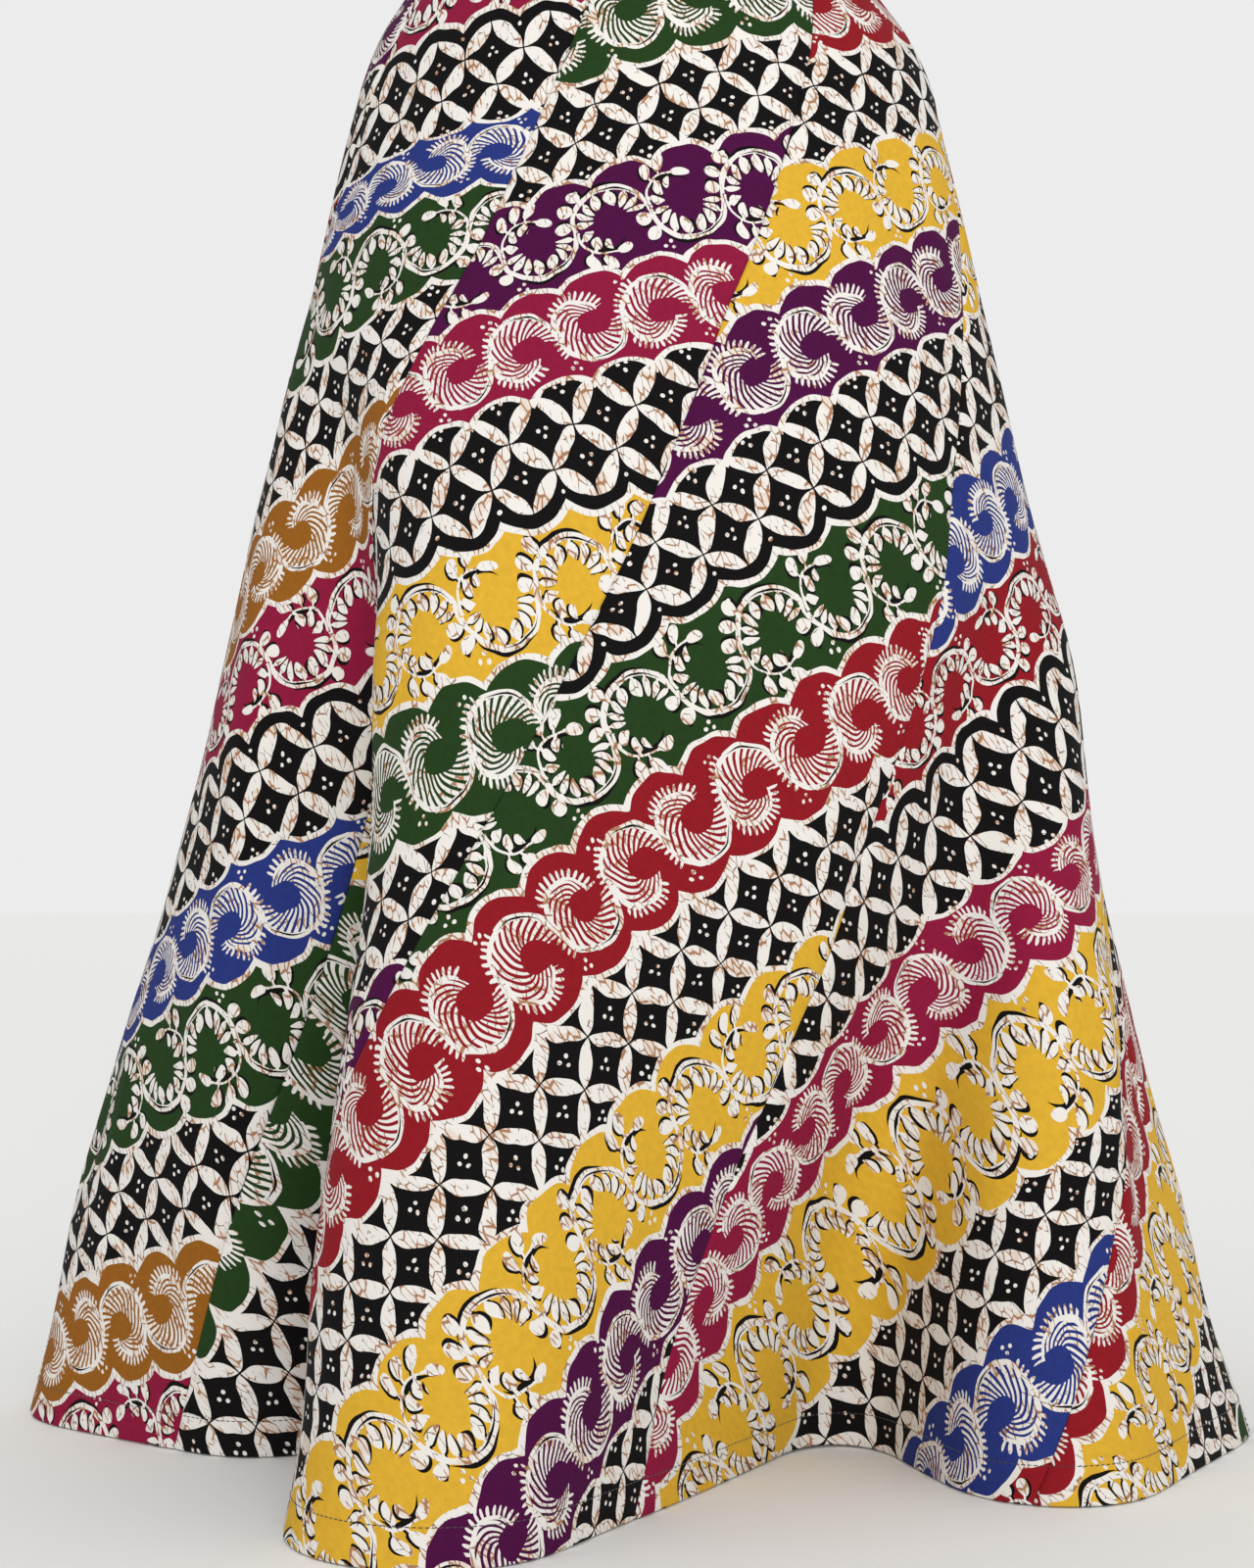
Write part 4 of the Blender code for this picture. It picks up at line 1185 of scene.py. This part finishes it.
COIL_TOP = 0.0145
COIL_FOOT = 0.2140
COIL_DEPTH = 0.0031      # behind the cloth's outer face
COIL_PATH_STEP = 0.004
COIL_STEP = 0.0013       # from tooth to tooth
TOOTH_LENGTH = 0.0010
TOOTH_RADIUS = 0.0012
RIB_SCALE = 160.0        # the tape's ribs, about 2 mm apart
RIB_UNEVEN = 0.8
RIB_DEPTH = 0.0001
RIB_STRENGTH = 0.4
SCUFF_SCALE = 900.0      # scuffs of about a millimetre
SCUFF_DEPTH = 0.00005
SCUFF_STRENGTH = 0.1
NICKEL_POLISH = (0.22, 0.38)
COIL_WEAR_SCALE = 700.0
COIL_WEAR_DETAIL = 2.0
COIL_POLISH = (0.30, 0.42)

# Woven tape: matt, with fine ribs across it
tape_cloth, add = finish_for("woven polyester tape, black")
place = add("TexCoord")
ribs = add("TexWave", place.outputs["Object"], RIB_SCALE, RIB_UNEVEN, 1.0, bands_direction="Z")
tone = add("Mix", named={"Factor": ribs, 6: linear("#121214"), 7: linear("#2A2A2D")}, data_type="RGBA")
bump = add("Bump", RIB_STRENGTH, RIB_DEPTH, named={"Height": ribs})
add("OutputMaterial", add("BsdfPrincipled", tone.outputs[2], named={"Roughness": 0.7, "Normal": bump}))

# Nickel plate on brass, tumbled: a soft uneven polish with faint scuffs
nickel, add = finish_for("nickel-plated brass, tumbled")
place = add("TexCoord")
smear = add("TexNoise", place.outputs["Object"], None, SCUFF_SCALE, FINE_DETAIL)
polish = add("MapRange", smear.outputs["Fac"], *NOISE_SPAN, *NICKEL_POLISH)
plate = add("Mix", named={"Factor": smear.outputs["Fac"], 6: linear("#B9B6AE"), 7: linear("#D8D6CF")},
            data_type="RGBA")
scuff = add("Bump", SCUFF_STRENGTH, SCUFF_DEPTH, named={"Height": smear.outputs["Fac"]})
add("OutputMaterial", add("BsdfPrincipled", plate.outputs[2], named={
    "Metallic": 1.0,
    "Roughness": polish,
    "Normal": scuff,
}))

# Moulded polyester: smooth, a little worn
coil_plastic, add = finish_for("polyester coil, black, moulded")
place = add("TexCoord")
worn = add("TexNoise", place.outputs["Object"], None, COIL_WEAR_SCALE, COIL_WEAR_DETAIL)
gloss = add("MapRange", worn.outputs["Fac"], *NOISE_SPAN, *COIL_POLISH)
add("OutputMaterial", add("BsdfPrincipled", linear("#19191B"), named={"Roughness": gloss}))

coil_points = []
coil_ways = []
for drop in stepped(COIL_TOP, COIL_FOOT, COIL_PATH_STEP):
    share = np.array([seam_share(drop) + ZIP_SEAM / GORES])
    way = cloth_normals(drop, share)[0]
    coil_points.append(cloth_points(drop, share)[0] - way * COIL_DEPTH)
    coil_ways.append(way)
sewn_line("zip_coil", np.array(coil_points), np.array(coil_ways), coil_plastic,
          Spacing=COIL_STEP, Length=TOOTH_LENGTH, Radius=TOOTH_RADIUS)

for node, finish in (("zip_tape_left", tape_cloth), ("zip_tape_right", tape_cloth), ("zip_slider", nickel),
                     ("zip_pull", nickel)):
    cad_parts[node].data.materials.clear()
    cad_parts[node].data.materials.append(finish)


# The floor, the light and the camera. A pale plain floor and backdrop, even light all round with one wide
# soft light from the front, and a view level with the skirt's middle, as in the photo.

FLOOR_SIZE = 6.0
FLOOR_CLEAR = 0.0006     # below the hem
WORLD_STRENGTH = 0.84
CAMERA_PLACE = Vector((-0.008, -1.5, -0.461))
CAMERA_HEIGHT = 0.832    # metres of the view's height at the skirt's middle
FRONT_LIGHT_PLACE = Vector((0.20, -1.5, 0.12))    # seen from the skirt's middle
FRONT_LIGHT_STRENGTH = 1.9
FRONT_LIGHT_SPREAD = math.radians(25)

paper, add = finish_for("matt white paper")
add("OutputMaterial", add("BsdfPrincipled", linear("#F4F4F2"), named={"Roughness": 0.9}))
floor_mesh = bpy.data.meshes.new("floor")
floor_maker = bmesh.new()
bmesh.ops.create_grid(floor_maker, x_segments=4, y_segments=4, size=FLOOR_SIZE)
bmesh.ops.translate(floor_maker, verts=floor_maker.verts, vec=(0.0, 0.0, -LENGTH - FLOOR_CLEAR))
floor_maker.to_mesh(floor_mesh)
floor_maker.free()
floor_mesh.materials.append(paper)
scene_object("floor", floor_mesh)

world = bpy.data.worlds.new("studio")
bpy.context.scene.world = world
world.use_nodes = True
world.node_tree.nodes["Background"].inputs["Color"].default_value = linear("#FFFFFF")
world.node_tree.nodes["Background"].inputs["Strength"].default_value = WORLD_STRENGTH

front_light = bpy.data.lights.new("front light", "SUN")
front_light.energy = FRONT_LIGHT_STRENGTH
front_light.angle = FRONT_LIGHT_SPREAD
front_lamp = scene_object("front light", front_light)
front_lamp.rotation_euler = (-FRONT_LIGHT_PLACE).to_track_quat("-Z", "Y").to_euler()

camera_data = bpy.data.cameras.new("camera")
camera_data.sensor_fit = "VERTICAL"
camera_data.angle = 2 * math.atan(CAMERA_HEIGHT / 2 / -CAMERA_PLACE.y)
camera = scene_object("camera", camera_data)
camera.location = CAMERA_PLACE
camera.rotation_euler = (math.pi / 2, 0.0, 0.0)
bpy.context.scene.camera = camera
bpy.context.scene.view_settings.view_transform = "Standard"
